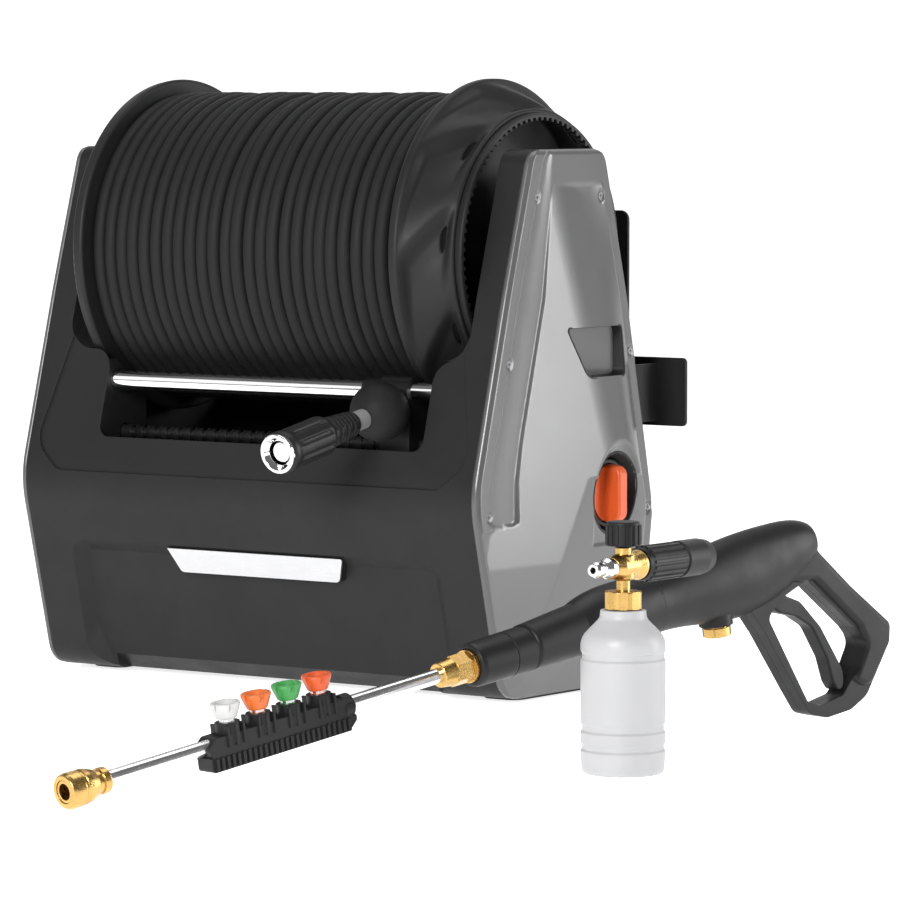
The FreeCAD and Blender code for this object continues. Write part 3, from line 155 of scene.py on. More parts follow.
class Finish:
    """A node material: one shader, whose colour, roughness and relief come from procedural textures."""

    def __init__(self, name, roughness=0.5, metallic=0.0, specular=0.5):
        self.material = bpy.data.materials.new(name)
        self.material.use_nodes = True
        self.tree = self.material.node_tree
        self.shader = self.tree.nodes["Principled BSDF"]
        self.set("Metallic", metallic)
        self.set("Roughness", roughness)
        self.set("Specular IOR Level", specular)
        coordinates = self.node("ShaderNodeTexCoord")
        self.place = coordinates.outputs["Object"]

    def set(self, socket, value):
        self.shader.inputs[socket].default_value = value

    def node(self, kind, **values):
        made = self.tree.nodes.new(kind)
        for name, value in values.items():
            setattr(made, name, value)
        return made

    def link(self, source, target):
        self.tree.links.new(source, target)

    def stretched(self, scale):
        """The object's coordinates, scaled unevenly along the axes."""
        mapping = self.node("ShaderNodeMapping")
        mapping.inputs["Scale"].default_value = scale
        self.link(self.place, mapping.inputs["Vector"])
        return mapping.outputs["Vector"]

    def noise(self, scale, detail=2.0, rough=0.5, stretch=None):
        texture = self.node("ShaderNodeTexNoise")
        texture.inputs["Scale"].default_value = scale
        texture.inputs["Detail"].default_value = detail
        texture.inputs["Roughness"].default_value = rough
        self.link(self.stretched(stretch) if stretch else self.place, texture.inputs["Vector"])
        return texture.outputs["Fac"]

    def band(self, source, low, high, to_low, to_high):
        """Maps the range low to high of a texture onto to_low to to_high."""
        ranged = self.node("ShaderNodeMapRange")
        for socket, value in zip(("From Min", "From Max", "To Min", "To Max"), (low, high, to_low, to_high)):
            ranged.inputs[socket].default_value = value
        self.link(source, ranged.inputs["Value"])
        return ranged.outputs["Result"]

    def colours(self, source, *stops):
        """Colour ramp over a texture. Each stop is (place, colour)."""
        ramp = self.node("ShaderNodeValToRGB")
        elements = ramp.color_ramp.elements
        while len(elements) < len(stops):
            elements.new(0.5)
        for element, (place, colour) in zip(elements, stops):
            element.position = place
            element.color = (*colour, 1)
        self.link(source, ramp.inputs["Fac"])
        return ramp.outputs["Color"]

    def colour(self, output):
        self.link(output, self.shader.inputs["Base Color"])

    def rough(self, output):
        self.link(output, self.shader.inputs["Roughness"])

    def relief(self, source, depth, rounding=0.0):
        """Bump of the given depth, on edges rounded by the given radius."""
        bump = self.node("ShaderNodeBump")
        bump.inputs["Strength"].default_value = 1.0
        bump.inputs["Distance"].default_value = depth
        self.link(source, bump.inputs["Height"])
        if rounding:
            bevel = self.node("ShaderNodeBevel", samples=4)
            bevel.inputs["Radius"].default_value = rounding
            self.link(bevel.outputs["Normal"], bump.inputs["Normal"])
        self.link(bump.outputs["Normal"], self.shader.inputs["Normal"])


def shade(colour, factor):
    return tuple(min(1.0, channel * factor) for channel in colour)


def moulded(name, colour, roughness=0.5, specular=0.25, grain=0.03 * MM, grain_scale=1500, rounding=0.9 * MM,
            mottle=0.12, smear=0.055):
    """Moulded plastic: fine spark-eroded grain, faint clouds in its colour, handling marks in its gloss."""
    finish = Finish(name, roughness, specular=specular)
    clouds = finish.noise(9, detail=4)
    finish.colour(finish.colours(clouds, (0.3, shade(colour, 1 - mottle)), (0.7, shade(colour, 1 + mottle))))
    smears = finish.noise(42, detail=5, rough=0.65)
    finish.rough(finish.band(smears, 0.35, 0.65, roughness - smear, roughness + smear))
    finish.relief(finish.noise(grain_scale, detail=1), grain, rounding)
    return finish.material


def rubber(name, colour, roughness=0.72, grain=0.06 * MM, rounding=0.0):
    """Matt rubber with a dusty bloom."""
    finish = Finish(name, roughness, specular=0.2)
    bloom = finish.noise(55, detail=6, rough=0.7)
    worn, dusty = shade(colour, 0.85), shade(colour, 1.5)
    finish.colour(finish.colours(bloom, (0.35, worn), (0.62, colour), (0.8, dusty)))
    finish.rough(finish.band(bloom, 0.3, 0.7, roughness - 0.06, roughness + 0.1))
    finish.relief(finish.noise(1100, detail=3), grain, rounding)
    return finish.material


def metal(name, colour, roughness=0.25, stretch=(1, 1, 1), streak=0.02 * MM, tarnish=0.15, rounding=0.4 * MM):
    """Bare metal with turning or drawing marks along the stretch, and a slight tarnish."""
    finish = Finish(name, roughness, metallic=1.0)
    stain = finish.noise(70, detail=5, rough=0.6)
    finish.colour(finish.colours(stain, (0.35, shade(colour, 1 - tarnish)), (0.65, colour)))
    marks = finish.noise(900, detail=3, stretch=stretch)
    finish.rough(finish.band(marks, 0.3, 0.7, roughness * 0.7, roughness * 1.35))
    finish.relief(marks, streak, rounding)
    return finish.material


def milky(name, colour):
    """Blow-moulded polyethylene, a little see-through."""
    finish = Finish(name, 0.42, specular=0.45)
    finish.set("Subsurface Weight", 0.35)
    finish.set("Subsurface Radius", (0.004, 0.004, 0.004))
    clouds = finish.noise(30, detail=4)
    finish.colour(finish.colours(clouds, (0.3, shade(colour, 0.96)), (0.7, colour)))
    finish.rough(finish.band(finish.noise(80, detail=4), 0.3, 0.7, 0.36, 0.5))
    finish.relief(finish.noise(120, detail=3), 0.12 * MM, 0.5 * MM)
    return finish.material


SHELL = moulded("charcoal_shell", (0.0125, 0.0125, 0.013), 0.5)
PANEL = moulded("grey_panel", (0.085, 0.085, 0.085), 0.25, specular=0.6, grain=0.004 * MM, rounding=0,
                mottle=0.03, smear=0.012)
# near-black plastic for the recess cups: its dark is painted shade inside the grip pocket and the switch well
RECESS_PAINTED_SHADE = moulded("recess_painted_shade", (0.010, 0.010, 0.010), 0.55)
BLACK = moulded("black_plastic", (0.010, 0.010, 0.011), 0.45)
FLANGE = moulded("flange_plastic", (0.013, 0.013, 0.014), 0.5, grain=0.04 * MM)
GUN_PLASTIC = moulded("gun_plastic", (0.011, 0.011, 0.012), 0.45, rounding=1.2 * MM)
ORANGE = moulded("orange_plastic", (0.60, 0.085, 0.014), 0.4, specular=0.5, mottle=0.06, grain_scale=900)
GREY = moulded("grey_ferrule", (0.24, 0.24, 0.24), 0.45)
FOOT = rubber("foot_rubber", (0.012, 0.012, 0.012), rounding=0.8 * MM)
HOSE = rubber("hose_rubber", (0.013, 0.013, 0.0135), 0.62, grain=0.05 * MM)
BALL = rubber("ball_rubber", (0.013, 0.013, 0.014), 0.6, rounding=0.6 * MM)
BELT = rubber("belt_rubber", (0.015, 0.015, 0.015))
POWDER_COAT = moulded("powder_coat", (0.010, 0.010, 0.011), 0.6, grain=0.06 * MM, grain_scale=700)
CHROME = metal("chrome", (0.93, 0.93, 0.94), 0.07, streak=0.0, tarnish=0.03, rounding=0.3 * MM)
LANCE_STEEL = metal("lance_steel", (0.82, 0.82, 0.83), 0.2, stretch=(3, 0.1, 3), streak=0.006 * MM,
                    tarnish=0.08)
STEEL = metal("zinc_steel", (0.55, 0.55, 0.56), 0.35)
SCREW_STEEL = metal("screw_steel", (0.22, 0.22, 0.23), 0.4)
BADGE = metal("badge_metal", (0.66, 0.66, 0.67), 0.36, stretch=(0.05, 1, 6), streak=0.008 * MM, tarnish=0.04)
BRASS = metal("brass", (0.66, 0.42, 0.14), 0.27, streak=0.012 * MM, tarnish=0.22)
CASTING = metal("casting", (0.60, 0.60, 0.61), 0.5, streak=0.1 * MM)
BOTTLE = milky("milky_bottle", (0.44, 0.44, 0.45))
CAP_WHITE = moulded("cap_white", (0.52, 0.52, 0.51), 0.38, specular=0.5, mottle=0.03)
CAP_AMBER = moulded("cap_amber", (0.62, 0.13, 0.02), 0.38, specular=0.5, mottle=0.05)
CAP_GREEN = moulded("cap_green", (0.04, 0.27, 0.06), 0.38, specular=0.5, mottle=0.05)
CAP_RED = moulded("cap_red", (0.60, 0.085, 0.016), 0.38, specular=0.5, mottle=0.05)

NODE_MATERIALS = {
    "front_cover": SHELL, "rear_cover": SHELL, "base_tray": BLACK, "foot_frame": FOOT,
    "right_side_panel": PANEL, "left_side_panel": PANEL, "panel_screws": SCREW_STEEL, "badge_plate": BADGE,
    "switch_bezel": BLACK, "switch_knob": ORANGE, "frame_cheeks": STEEL, "drum_bearings": STEEL,
    "wall_bracket": POWDER_COAT, "motor": CASTING, "pump_head": BRASS, "pressure_pipe": STEEL,
    "water_inlet": BRASS, "cable_gland": BLACK, "guide_rod": CHROME, "timing_belt": BELT,
    "ratchet_pawl": BLACK, "reel_shaft": STEEL, "drum_core": FLANGE, "left_flange": FLANGE,
    "right_flange": FLANGE, "ring_gear": FLANGE, "hose_coil": HOSE, "drum_pulley": BLACK,
    "leadscrew": BLACK, "screw_pulley": BLACK, "carriage": BLACK, "hose_lead": HOSE, "ball_stop": BALL,
    "hose_ferrule": GREY, "strain_relief": BLACK, "hose_insert": CHROME, "hose_nut": BLACK,
    "nut_ring": CHROME, "gun_shell_left": GUN_PLASTIC, "gun_shell_right": GUN_PLASTIC, "gun_valve": BRASS,
    "gun_inlet": BRASS, "lance_nut": BRASS, "lance_tube": LANCE_STEEL, "coupler_body": BRASS,
    "coupler_sleeve": BRASS, "nozzle_holder": BLACK, "gun_trigger": BLACK, "trigger_latch": ORANGE,
    "foam_bottle": BOTTLE, "bottle_collar": BRASS, "foam_body": BRASS, "foam_plug": LANCE_STEEL,
    "foam_knob": BLACK, "foam_nozzle": BLACK, "suction_tube": BOTTLE,
    "nozzle_white": CAP_WHITE, "nozzle_amber": CAP_AMBER, "nozzle_green": CAP_GREEN, "nozzle_red": CAP_RED,
}


def finish_cad_nodes():
    for name, node in frame["nodes"].items():
        node.data.materials.clear()
        node.data.materials.append(NODE_MATERIALS[name])
    # a nozzle's plug is steel below its moulded cap
    for name in NOZZLES:
        mesh = frame["nodes"][name].data
        mesh.materials.append(LANCE_STEEL)
        for face in mesh.polygons:
            across = (face.center - GUN_TIP) - GUN_U * (face.center - GUN_TIP).dot(GUN_U)
            if across.dot(GUN_V) < NOZZLE_PLUG_TOP:
                face.material_index = 1


# ---- mesh helpers ----------------------------------------------------------------------------

def smoothstep(value, low, high):
    share = min(1.0, max(0.0, (value - low) / (high - low)))
    return share * share * (3 - 2 * share)


def piece(name, vertices, faces, material, body, replaced=()):
    """Smooth mesh object that rides on a body."""
    mesh = bpy.data.meshes.new(name)
    mesh.from_pydata(vertices, [], faces)
    mesh.validate()
    mesh.update()
    mesh.polygons.foreach_set("use_smooth", [True] * len(mesh.polygons))
    mesh.materials.append(material)
    made = bpy.data.objects.new(name, mesh)
    bpy.context.scene.collection.objects.link(made)
    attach(made, body)
    if replaced:
        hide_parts(*replaced)
    return made


def grid_faces(rows, columns, close_rows=True, close_columns=True):
    """Quads of a grid of rows by columns, joined round where they close."""
    faces = []
    for row in range(rows if close_rows else rows - 1):
        for column in range(columns if close_columns else columns - 1):
            after_row, after_column = (row + 1) % rows, (column + 1) % columns
            faces.append((row * columns + column, row * columns + after_column,
                          after_row * columns + after_column, after_row * columns + column))
    return faces


def frame_of(axis):
    """Two directions at right angles to the axis."""
    helper = Vector((0, 0, 1)) if abs(axis.z) < 0.9 else Vector((1, 0, 0))
    side = axis.cross(helper).normalized()
    return side, axis.cross(side).normalized()


def turned_surface(profile, radius_at, centre, axis, segments):
    """Closed surface turned about an axis, from a closed profile of (along, radius) points.
    radius_at(index, radius, angle) gives the radius of a profile point at an angle."""
    side, up = frame_of(axis)
    vertices = []
    for step in range(segments):
        angle = TURN * step / segments
        outwards = side * math.cos(angle) + up * math.sin(angle)
        for index, (along, radius) in enumerate(profile):
            vertices.append(centre + axis * along + outwards * radius_at(index, radius, angle))
    return vertices, grid_faces(segments, len(profile))


# ---- reel ------------------------------------------------------------------------------------

def tube_along(points, sideways, radius, sides):
    """Vertices of a tube, from points and the outward direction at each."""
    vertices = []
    for index, point in enumerate(points):
        before = points[max(0, index - 1)]
        after = points[min(len(points) - 1, index + 1)]
        along = (after - before).normalized()
        out = sideways[index]
        out = (out - along * out.dot(along)).normalized()
        across = along.cross(out)
        for side in range(sides):
            angle = TURN * side / sides
            vertices.append(point + (out * math.cos(angle) + across * math.sin(angle)) * radius)
    return vertices


def layer_of_hose(left, pitch, radius, turns, slack, dip, seed):
    """Points and outward directions of one layer of turns, a little uneven from turn to turn."""
    chance = random.Random(seed)
    shifts = [chance.uniform(-slack, slack) for _ in range(turns + 2)]
    dips = [chance.uniform(0, dip) * (1 if chance.random() < 0.45 else 0.25) for _ in range(turns + 2)]
    points, outwards = [], []
    for step in range(turns * STEPS_PER_TURN + 1):
        turn, share = divmod(step, STEPS_PER_TURN)
        share /= STEPS_PER_TURN
        # each turn runs nearly square to the axis and crosses over to the next place in a third of a turn
        cross = smoothstep(share, 0.62, 0.98)
        along = left + pitch * (turn + 0.1 * share + 0.9 * cross)
        blend = smoothstep(share, 0.3, 0.95)
        along += shifts[turn] * (1 - blend) + shifts[turn + 1] * blend
        sink = dips[turn] * (1 - blend) + dips[turn + 1] * blend
        angle = TURN * share
        out = Vector((0, math.cos(angle), math.sin(angle)))
        points.append(Vector((along, REEL_CENTRE.y, REEL_CENTRE.z)) + out * (radius - sink))
        outwards.append(out)
    return points, outwards


def wound_hose():
    """The hose on the drum: two layers of turns, whose top one sinks here and there."""
    low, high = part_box("hose_coil")
    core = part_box("drum_core")[1].z - REEL_CENTRE.z
    pitch = (high.x - low.x - 2 * HOSE_RADIUS) / COIL_TURNS
    left = low.x + HOSE_RADIUS
    vertices, faces = [], []
    # radius of the layer, slack between its turns, how far a turn sinks, and the seed
    under = (core + HOSE_RADIUS + 0.3 * MM, 0.1 * MM, 0, 3)
    over = (core + 3 * HOSE_RADIUS - 0.6 * MM, 0.75 * MM, 2.6 * MM, 11)
    for radius, slack, dip, seed in (under, over):
        points, outwards = layer_of_hose(left, pitch, radius, COIL_TURNS, slack, dip, seed)
        first = len(vertices)
        vertices += tube_along(points, outwards, HOSE_RADIUS, HOSE_SIDES)
        faces += [tuple(first + corner for corner in face)
                  for face in grid_faces(len(points), HOSE_SIDES, close_rows=False)]
        last = first + (len(points) - 1) * HOSE_SIDES
        faces.append(tuple(range(first + HOSE_SIDES - 1, first - 1, -1)))
        faces.append(tuple(range(last, last + HOSE_SIDES)))
    piece("wound_hose", vertices, faces, HOSE, "reel", ["hose_coil"])


def bladed_flange():
    """The right flange: a rim, then a cone with twisted scoops between slanting blades."""
    low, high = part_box("right_flange")
    rim = high.z - REEL_CENTRE.z
    rim_end = low.x + 9 * MM
    rim_inside = rim - 17 * MM
    cone_start = rim - 1.5 * MM
    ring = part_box("ring_gear")[1].z - REEL_CENTRE.z + 3 * MM
    bore = 12 * MM
    hub_end = rim_end + 20 * MM
    cone_steps = 30
    profile = [(low.x, bore), (low.x, rim - 3 * MM), (low.x + 0.7 * MM, rim - 1 * MM),
               (low.x + 2.5 * MM, rim), (rim_end - 2 * MM, rim), (rim_end - 0.6 * MM, rim - 0.6 * MM)]
    first_cone = len(profile)
    for step in range(cone_steps + 1):
        share = step / cone_steps
        profile.append((rim_end + (high.x - rim_end) * share, cone_start + (ring - cone_start) * share))
    last_cone = len(profile) - 1
    profile += [(high.x, ring - 5 * MM), (rim_end + 2 * MM, rim_inside), (rim_end - 3 * MM, rim_inside),
                (rim_end - 3 * MM, 34 * MM), (hub_end, 30 * MM), (hub_end, bore)]

    def radius_at(index, radius, angle):
        if not first_cone <= index <= last_cone:
            return radius
        share = (index - first_cone) / cone_steps
        phase = (angle / TURN * FLANGE_SCOOPS + SCOOP_TWIST * share) % 1.0
        scoop = smoothstep(phase, 0.0, 0.2) * (1 - smoothstep(phase, 0.32, 1.0))
        ends = smoothstep(share, 0.0, 0.12) * (1 - smoothstep(share, 0.72, 1.0))
        return radius - SCOOP_DEPTH * scoop * ends

    centre = Vector((0, REEL_CENTRE.y, REEL_CENTRE.z))
    vertices, faces = turned_surface(profile, radius_at, centre, Vector((1, 0, 0)), 360)
    piece("bladed_flange", vertices, faces, FLANGE, "reel", ["right_flange"])


# ---- side panels -----------------------------------------------------------------------------

def rounded(corners, steps=12):
    """Outline with its corners rounded by arcs. Each corner is (y, z, radius)."""
    points = []
    for index, (y, z, radius) in enumerate(corners):
        corner = Vector((y, z))
        before = (Vector(corners[index - 1][:2]) - corner).normalized()
        after = (Vector(corners[(index + 1) % len(corners)][:2]) - corner).normalized()
        half = before.angle(after) / 2
        inwards = (before + after).normalized()
        middle = corner + inwards * radius / math.sin(half)
        start = corner + before * radius / math.tan(half) - middle
        finish = corner + after * radius / math.tan(half) - middle
        for step in range(steps + 1):
            spoke = start.lerp(finish, step / steps).normalized()
            points.append(middle + spoke * radius)
    return points


def circle(centre, radius, steps=72):
    return [Vector(centre) + radius * Vector((math.cos(TURN * step / steps), math.sin(TURN * step / steps)))
            for step in range(steps)]


def span_at(points, height):
    """Lowest and highest y of an outline at a height."""
    crossings = []
    for index, end in enumerate(points):
        start = points[index - 1]
        if (start.y - height) * (end.y - height) <= 0 and start.y != end.y:
            crossings.append(start.x + (end.x - start.x) * (height - start.y) / (end.y - start.y))
    return min(crossings), max(crossings)


def along_line(height, points):
    """y at a height on a broken line of (z, y) points, listed from the top down."""
    for (z_high, y_high), (z_low, y_low) in zip(points, points[1:]):
        if height >= z_low:
            break
    return y_low + (y_high - y_low) * (height - z_low) / (z_high - z_low)


def soft_min(one, other, blend):
    """Lower of two heights, rounded over where they cross."""
    share = min(1.0, max(0.0, 0.5 + 0.5 * (other - one) / blend))
    return other + (one - other) * share - blend * share * (1 - share)


def panel_relief(y, z, front, rear):
    """Height of a side panel over its own plane: border, front groove, faceted body and screw seats."""
    # border with a narrow chamfer, and a groove beside it along the front
    edge = min(y - front, rear - y, z - PANEL_BOTTOM, PANEL_TOP - z)
    border = PANEL_BORDER - CHAMFER_DROP * (1 - min(1.0, max(0.0, edge) / PANEL_CHAMFER))
    groove_rear = along_line(z, GROOVE_REAR)
    wall_top, wall_foot = GROOVE_WALL
    deep, shallow = GROOVE_DEPTHS
    ramp = smoothstep(y, front + wall_foot + 3, groove_rear)
    groove = smoothstep(y, front + wall_top, front + wall_foot) * (deep + (shallow - deep) * ramp)
    # bright front facet and flat rear facet, which rolls off to the rear border
    foot = along_line(z, FACET_FOOT)
    facet = FACET_BASE + FACET_SLOPE * (y - foot)
    crease = along_line(z, FACET_CREST)
    crest = FACET_BASE + FACET_SLOPE * (crease - foot)
    rear_border = rear - REAR_BORDER_WIDTH
    roll = min(1.0, max(0.0, (y - rear_border) / REAR_ROLL + 1))
    rear_facet = crest - REAR_SLOPE * (y - crease) - (crest - PANEL_BORDER - REAR_END) * roll * roll
    body = soft_min(facet, rear_facet, FACET_BLEND)
    # lower field, the arch over the switch, and the slope up from the bottom edge
    field_edge = along_line(z, FIELD_EDGE)
    field = FACET_BASE + FACET_SLOPE * (field_edge - foot) - FIELD_SLOPE * (y - field_edge)
    if z > ARCH_BOTTOM:
        arch = math.hypot((y - ARCH_AT[0]) / ARCH_RADII[0], max(0.0, z - ARCH_AT[1]) / ARCH_RADII[1])
        body += (min(body, field) - ARCH_DEPTH - body) * (1 - smoothstep(arch, 0.9, 1.06))
    if z < FIELD_TOP:
        body = soft_min(body, field, FIELD_BLEND)
    body = min(body, PANEL_BORDER - FOOT_DROP + max(0.0, z - FOOT_AT) * FOOT_SLOPE)
    # the groove ends above the lower front corner, where the body comes out to the border
    grooved = smoothstep(z, GROOVE_BOTTOM, GROOVE_BOTTOM + 7)
    body_start = groove_rear * grooved + (front + 3) * (1 - grooved)
    raised = smoothstep(y, body_start - 1, body_start + 1.5) * (1 - smoothstep(z, BODY_TOP, BODY_TOP + 3))
    raised *= 1 - smoothstep(y, rear_border - 1, rear_border + 1)
    height = (border - groove * grooved) * (1 - raised) + max(body, BODY_LEAST) * raised
    if any(math.hypot(y - screw_y, z - screw_z) < SCREW_SEAT_R for screw_y, screw_z in SCREWS_AT):
        height = SCREW_SEAT
    return height


def over_recess(face, vertices, recesses):
    """Whether a face of a panel lies over one of its recesses."""
    if len(face) > 4:
        return False
    middle = sum((vertices[corner] for corner in face), Vector()) / len(face) / MM
    for outline in recesses:
        if not min(point.y for point in outline) < middle.z < max(point.y for point in outline):
            continue
        low, high = span_at(outline, middle.z)
        if low < middle.y < high:
            return True
    return False


def recess_cup(name, side, panel_outline, outline, depth, share):
    """Recess in a side panel: a narrow lip on the panel's surface, a wall and a floor, share as wide."""
    middle = sum(outline, Vector((0, 0))) / len(outline)
    # each ring's scale and height, and whether the height counts from the panel's surface or its plane
    rings = [(1.05, -0.6, True), (1.04, 0.25, True), (1.0, 0.3, True), (0.975, -1.2, True),
             (share, 1.6 - depth, False), (share * 0.97, -depth, False),
             (0.5, -depth, False), (0.02, -depth, False)]
    vertices = []
    for scale, rise, from_surface in rings:
        for corner in outline:
            y, z = middle + (corner - middle) * scale
            surface = panel_relief(y, z, *span_at(panel_outline, z)) if from_surface else 0.0
            vertices.append(Vector((side * (PANEL_X + surface + rise), y, z)) * MM)
    faces = grid_faces(len(rings), len(outline), close_rows=False)
    if side > 0:
        faces = [tuple(reversed(face)) for face in faces]
    # the whole cup, lip, wall and floor, is coloured near-black as painted shade in the recess
    piece(name, vertices, faces, RECESS_PAINTED_SHADE, "machine", ())


def side_panel(name, side, replaced, with_switch):
    """Side panel as a height field with a skirt and a flat back, and its recesses as cups."""
    outline = rounded(PANEL_OUTLINE)
    rows = 280
    columns = 150
    margin = 0.01
    sheet = []
    for row in range(rows + 1):
        z = PANEL_BOTTOM + margin + (PANEL_TOP - PANEL_BOTTOM - 2 * margin) * row / rows
        front, rear = span_at(outline, z)
        line = [(front, z, PANEL_BACK)]
        for column in range(columns + 1):
            y = front + (rear - front) * column / columns
            line.append((y, z, panel_relief(y, z, front, rear)))
        line.append((rear, z, PANEL_BACK))
        sheet.append(line)
    bottom, top = ([(y, z, PANEL_BACK) for y, z, _ in line] for line in (sheet[0], sheet[-1]))
    sheet = [bottom, *sheet, top]
    width = columns + 3
    vertices = [Vector((side * (PANEL_X + rise), y, z)) * MM for line in sheet for y, z, rise in line]
    faces = grid_faces(len(sheet), width, close_rows=False, close_columns=False)
    last = (len(sheet) - 1) * width
    rim = list(range(width)) + [row * width + width - 1 for row in range(1, len(sheet))]
    rim += list(range(last + width - 2, last - 1, -1)) + [row * width for row in range(len(sheet) - 2, 0, -1)]
    faces.append(tuple(reversed(rim)))
    recesses = [rounded(GRIP_OUTLINE)]
    if with_switch:
        recesses.append(circle(SWITCH_AT, WELL_R))
    faces = [face for face in faces if not over_recess(face, vertices, recesses)]
    if side < 0:
        faces = [tuple(reversed(face)) for face in faces]
    piece(name, vertices, faces, PANEL, "machine", [replaced])
    recess_cup(name + "_grip", side, outline, recesses[0], GRIP_DEPTH, GRIP_FLOOR_SHARE)
    if with_switch:
        recess_cup(name + "_well", side, outline, recesses[1], WELL_DEPTH, SWITCH_R / WELL_R)


# ---- hose guide and hose end -----------------------------------------------------------------

def hose_end_profile(node):
    """Where a part of the hose's end starts and stops along the tail, and its largest radius."""
    corners = [vertex.co - BALL_CENTRE for vertex in frame["nodes"][node].data.vertices]
    along = [corner.dot(TAIL) for corner in corners]
    across = [(corner - TAIL * corner.dot(TAIL)).length for corner in corners]
    return min(along), max(along), max(across)


def fluted_nut():
    """Union nut with wide ribs to grip it by."""
    start, end, radius = hose_end_profile("hose_nut")
    flutes = 9
    flute_depth = 1.7 * MM
    flute_start, flute_end = start + 4 * MM, end - 9 * MM
    bore = 6 * MM
    mouth, mouth_bottom = 11.2 * MM, start + 22 * MM
    profile = [(start, bore), (start, radius - 5 * MM), (start + 2 * MM, radius - 2.5 * MM)]
    first = len(profile)
    steps = 24
    for step in range(steps + 1):
        profile.append((flute_start + (flute_end - flute_start) * step / steps, radius - 0.3 * MM))
    last = len(profile) - 1
    profile += [(flute_end + 1 * MM, radius), (end - 1 * MM, radius), (end, radius - 1 * MM),
                (end, mouth), (mouth_bottom, mouth), (mouth_bottom, bore)]

    def radius_at(index, radius, angle):
        if not first <= index <= last:
            return radius
        share = (index - first) / steps
        wave = 0.5 + 0.5 * math.cos(angle * flutes)
        ends = smoothstep(share, 0, 0.12) * (1 - smoothstep(share, 0.86, 1))
        return radius - flute_depth * smoothstep(wave, 0.55, 0.95) * ends

    vertices, faces = turned_surface(profile, radius_at, BALL_CENTRE, TAIL, 216)
    piece("fluted_nut", vertices, faces, BLACK, "union_nut", ["hose_nut"])


def slotted_strain_relief():
    """Strain relief whose ribs are cut through in turns, the slots by which the real part bends."""
    start, end, radius = hose_end_profile("strain_relief")
    bore = 5.6 * MM
    least = 9.8 * MM
    collar = 3 * MM
    ribs = 7
    rib_width = 2.4 * MM
    slot_end = 3.9 * MM
    slot_depth = 2.2 * MM
    profile = [(start, bore), (start, 9.5 * MM)]
    for rib in range(ribs):
        here = start + (end - start - collar) * (rib + 0.35) / ribs
        size = least + (radius - least) * (rib + 1) / ribs
        profile += [(here, size), (here + rib_width, size), (here + rib_width + 0.2 * MM, size - slot_depth),
                    (here + slot_end, size - slot_depth)]
    profile += [(end - 1 * MM, radius), (end, radius - 0.6 * MM), (end, bore)]
    bridges = {2 + 4 * rib + step: rib for rib in range(ribs) for step in (2, 3)}

    def radius_at(index, radius, angle):
        if index not in bridges:
            return radius
        turn = angle + math.pi / 2 * (bridges[index] % 2)
        return radius + slot_depth * smoothstep(abs(math.cos(turn)), 0.9, 0.96)

    vertices, faces = turned_surface(profile, radius_at, BALL_CENTRE, TAIL, 120)
    piece("slotted_strain_relief", vertices, faces, BLACK, "hose_guide", ["strain_relief"])


def crossed_leadscrew():
    """Screw with crossed threads, which bring the guide back at the end of a layer."""
    low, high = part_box("leadscrew")
    radius = (high.z - low.z) / 2
    centre = Vector((0, (low.y + high.y) / 2, (low.z + high.z) / 2))
    pitch = 12.6 * MM
    groove_depth = 1.8 * MM
    thread_end = 150 * MM
    step = 0.45 * MM
    count = int((high.x - low.x) / step)
    side, up = frame_of(Vector((1, 0, 0)))
    segments = 28
    vertices = []
    for index in range(count + 1):
        along = low.x + (high.x - low.x) * index / count
        for segment in range(segments):
            share = segment / segments
            cut = 0.0
            if abs(along) <= thread_end:
                for way in (1, -1):
                    phase = (along / pitch + way * share) % 1.0
                    groove = smoothstep(phase, 0.28, 0.38) * (1 - smoothstep(phase, 0.62, 0.72))
                    cut = max(cut, groove)
            out = side * math.cos(TURN * share) + up * math.sin(TURN * share)
            vertices.append(centre + Vector((along, 0, 0)) + out * (radius - groove_depth * cut))
    faces = grid_faces(count + 1, segments, close_rows=False)
    faces.append(tuple(range(segments - 1, -1, -1)))
    faces.append(tuple(range(count * segments, (count + 1) * segments)))
    piece("crossed_leadscrew", vertices, faces, BLACK, "screw", ["leadscrew"])


# ---- gun -------------------------------------------------------------------------------------

def barrel_sleeve():
    """Moulded skin round the front of the gun's barrel, which widens from the collar to the grip."""
    width = GUN_V.cross(GUN_U)
    # distance from the lance's tip, height of the middle, half height and half width, in millimetres
    first = (432, 0.6, 17.5, 17.5)
    last = (560, 4.5, 23.4, 20.8)
    rows = 32
    sides = 72
    vertices = []
    for row in range(rows + 1):
        share = row / rows
        along, middle, half_height, half_width = (a + (b - a) * share for a, b in zip(first, last))
        centre = GUN_TIP + (GUN_U * along + GUN_V * middle) * MM
        for step in range(sides):
            angle = TURN * step / sides
            upright = GUN_V * half_height * math.sin(angle)
            sideways = width * half_width * math.cos(angle)
            vertices.append(centre + (upright + sideways) * MM)
    faces = grid_faces(rows + 1, sides, close_rows=False)
    faces.append(tuple(range(sides - 1, -1, -1)))
    faces.append(tuple(range(rows * sides, (rows + 1) * sides)))
    piece("barrel_sleeve", vertices, faces, GUN_PLASTIC, "gun", ())


# ---- studio ----------------------------------------------------------------------------------

def plain_material(name, colour, glow):
    finish = Finish(name, 0.9, specular=0.1)
    cloud = finish.noise(2.0, detail=1)
    finish.colour(finish.colours(cloud, (0.0, colour), (1.0, shade(colour, 0.99))))
    finish.set("Emission Color", (1, 1, 1, 1))
    finish.set("Emission Strength", glow)
    return finish.material


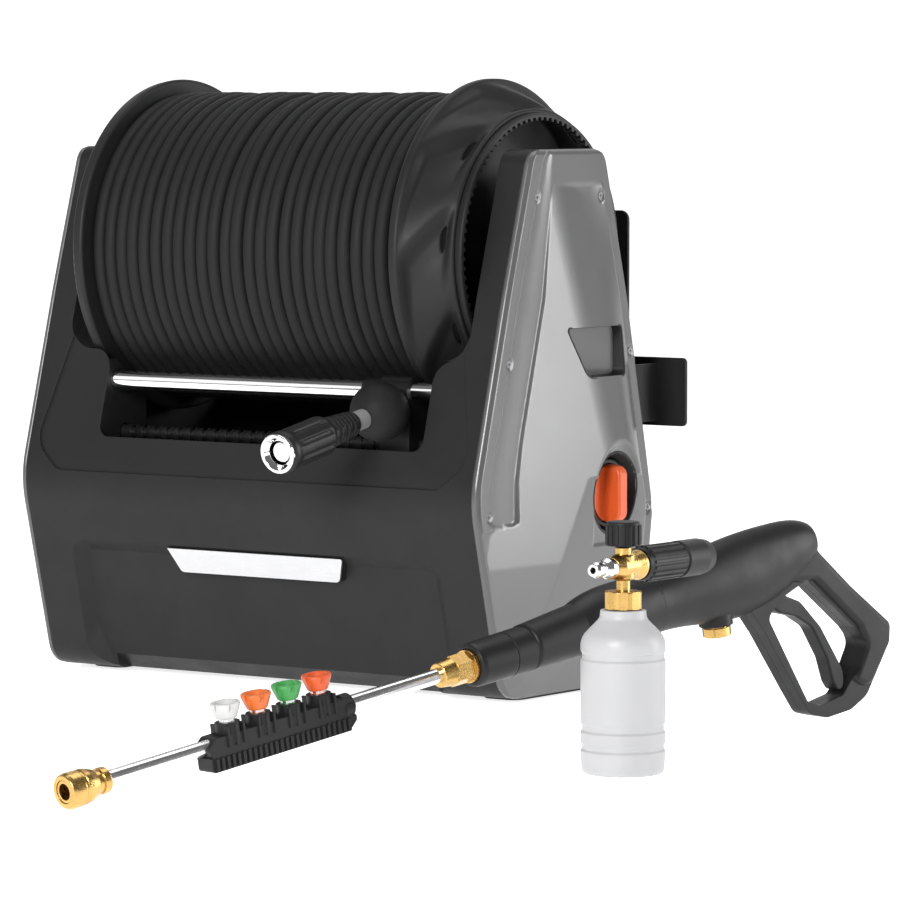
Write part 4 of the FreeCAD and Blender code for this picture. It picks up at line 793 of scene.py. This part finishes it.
def backdrop():
    """Pale floor that curves up into a wall behind the set, seen from the camera."""
    floor_start, floor_end = -12.0, 9.0
    bend = 3.0
    bend_steps = 24
    wall_top = 10.0
    half_width = 14
    outline = [(floor_start, 0.0), (floor_end, 0.0)]
    for step in range(1, bend_steps + 1):
        angle = math.pi / 2 * step / bend_steps
        outline.append((floor_end + bend * math.sin(angle), bend - bend * math.cos(angle)))
    outline.append((floor_end + bend, wall_top))
    heading = math.radians(VIEW_AZIMUTH)
    away = Vector((-math.sin(heading), math.cos(heading), 0))
    across = Vector((math.cos(heading), math.sin(heading), 0))
    vertices = [away * run + across * side * half_width + Vector((0, 0, rise))
                for run, rise in outline for side in (-1, 1)]
    faces = [(2 * i, 2 * i + 1, 2 * i + 3, 2 * i + 2) for i in range(len(outline) - 1)]
    mesh = bpy.data.meshes.new("backdrop")
    mesh.from_pydata(vertices, [], faces)
    mesh.polygons.foreach_set("use_smooth", [True] * len(mesh.polygons))
    mesh.materials.append(plain_material("pale_floor", (0.86, 0.86, 0.86), FLOOR_GLOW))
    made = bpy.data.objects.new("backdrop", mesh)
    bpy.context.scene.collection.objects.link(made)


def area_light(name, place, aim, size, power):
    data = bpy.data.lights.new(name, "AREA")
    data.shape = "RECTANGLE"
    data.size, data.size_y = size
    data.energy = power
    lamp = bpy.data.objects.new(name, data)
    bpy.context.scene.collection.objects.link(lamp)
    lamp.location = place
    lamp.rotation_euler = (Vector(aim) - Vector(place)).to_track_quat("-Z", "Y").to_euler()


def studio():
    backdrop()
    world = bpy.data.worlds.new("studio")
    bpy.context.scene.world = world
    world.use_nodes = True
    background = world.node_tree.nodes["Background"]
    background.inputs["Color"].default_value = (1, 1, 1, 1)
    background.inputs["Strength"].default_value = WORLD_GLOW
    for name, (place, aim, size, power) in LIGHTS.items():
        area_light(name, place, aim, size, power)
    bpy.context.scene.view_settings.view_transform = "Standard"


def camera():
    data = bpy.data.cameras.new("camera")
    data.lens = LENS
    data.sensor_width = SENSOR_WIDTH
    made = bpy.data.objects.new("camera", data)
    bpy.context.scene.collection.objects.link(made)
    made.rotation_euler = (math.radians(90 - VIEW_PITCH), 0, math.radians(VIEW_AZIMUTH))
    made.location = VIEW_AIM + made.rotation_euler.to_matrix() @ Vector((0, 0, VIEW_DISTANCE))
    bpy.context.scene.camera = made


camera()
studio()
finish_cad_nodes()
wound_hose()
bladed_flange()
crossed_leadscrew()
side_panel("right_moulded_panel", 1, "right_side_panel", True)
side_panel("left_moulded_panel", -1, "left_side_panel", False)
fluted_nut()
slotted_strain_relief()
barrel_sleeve()
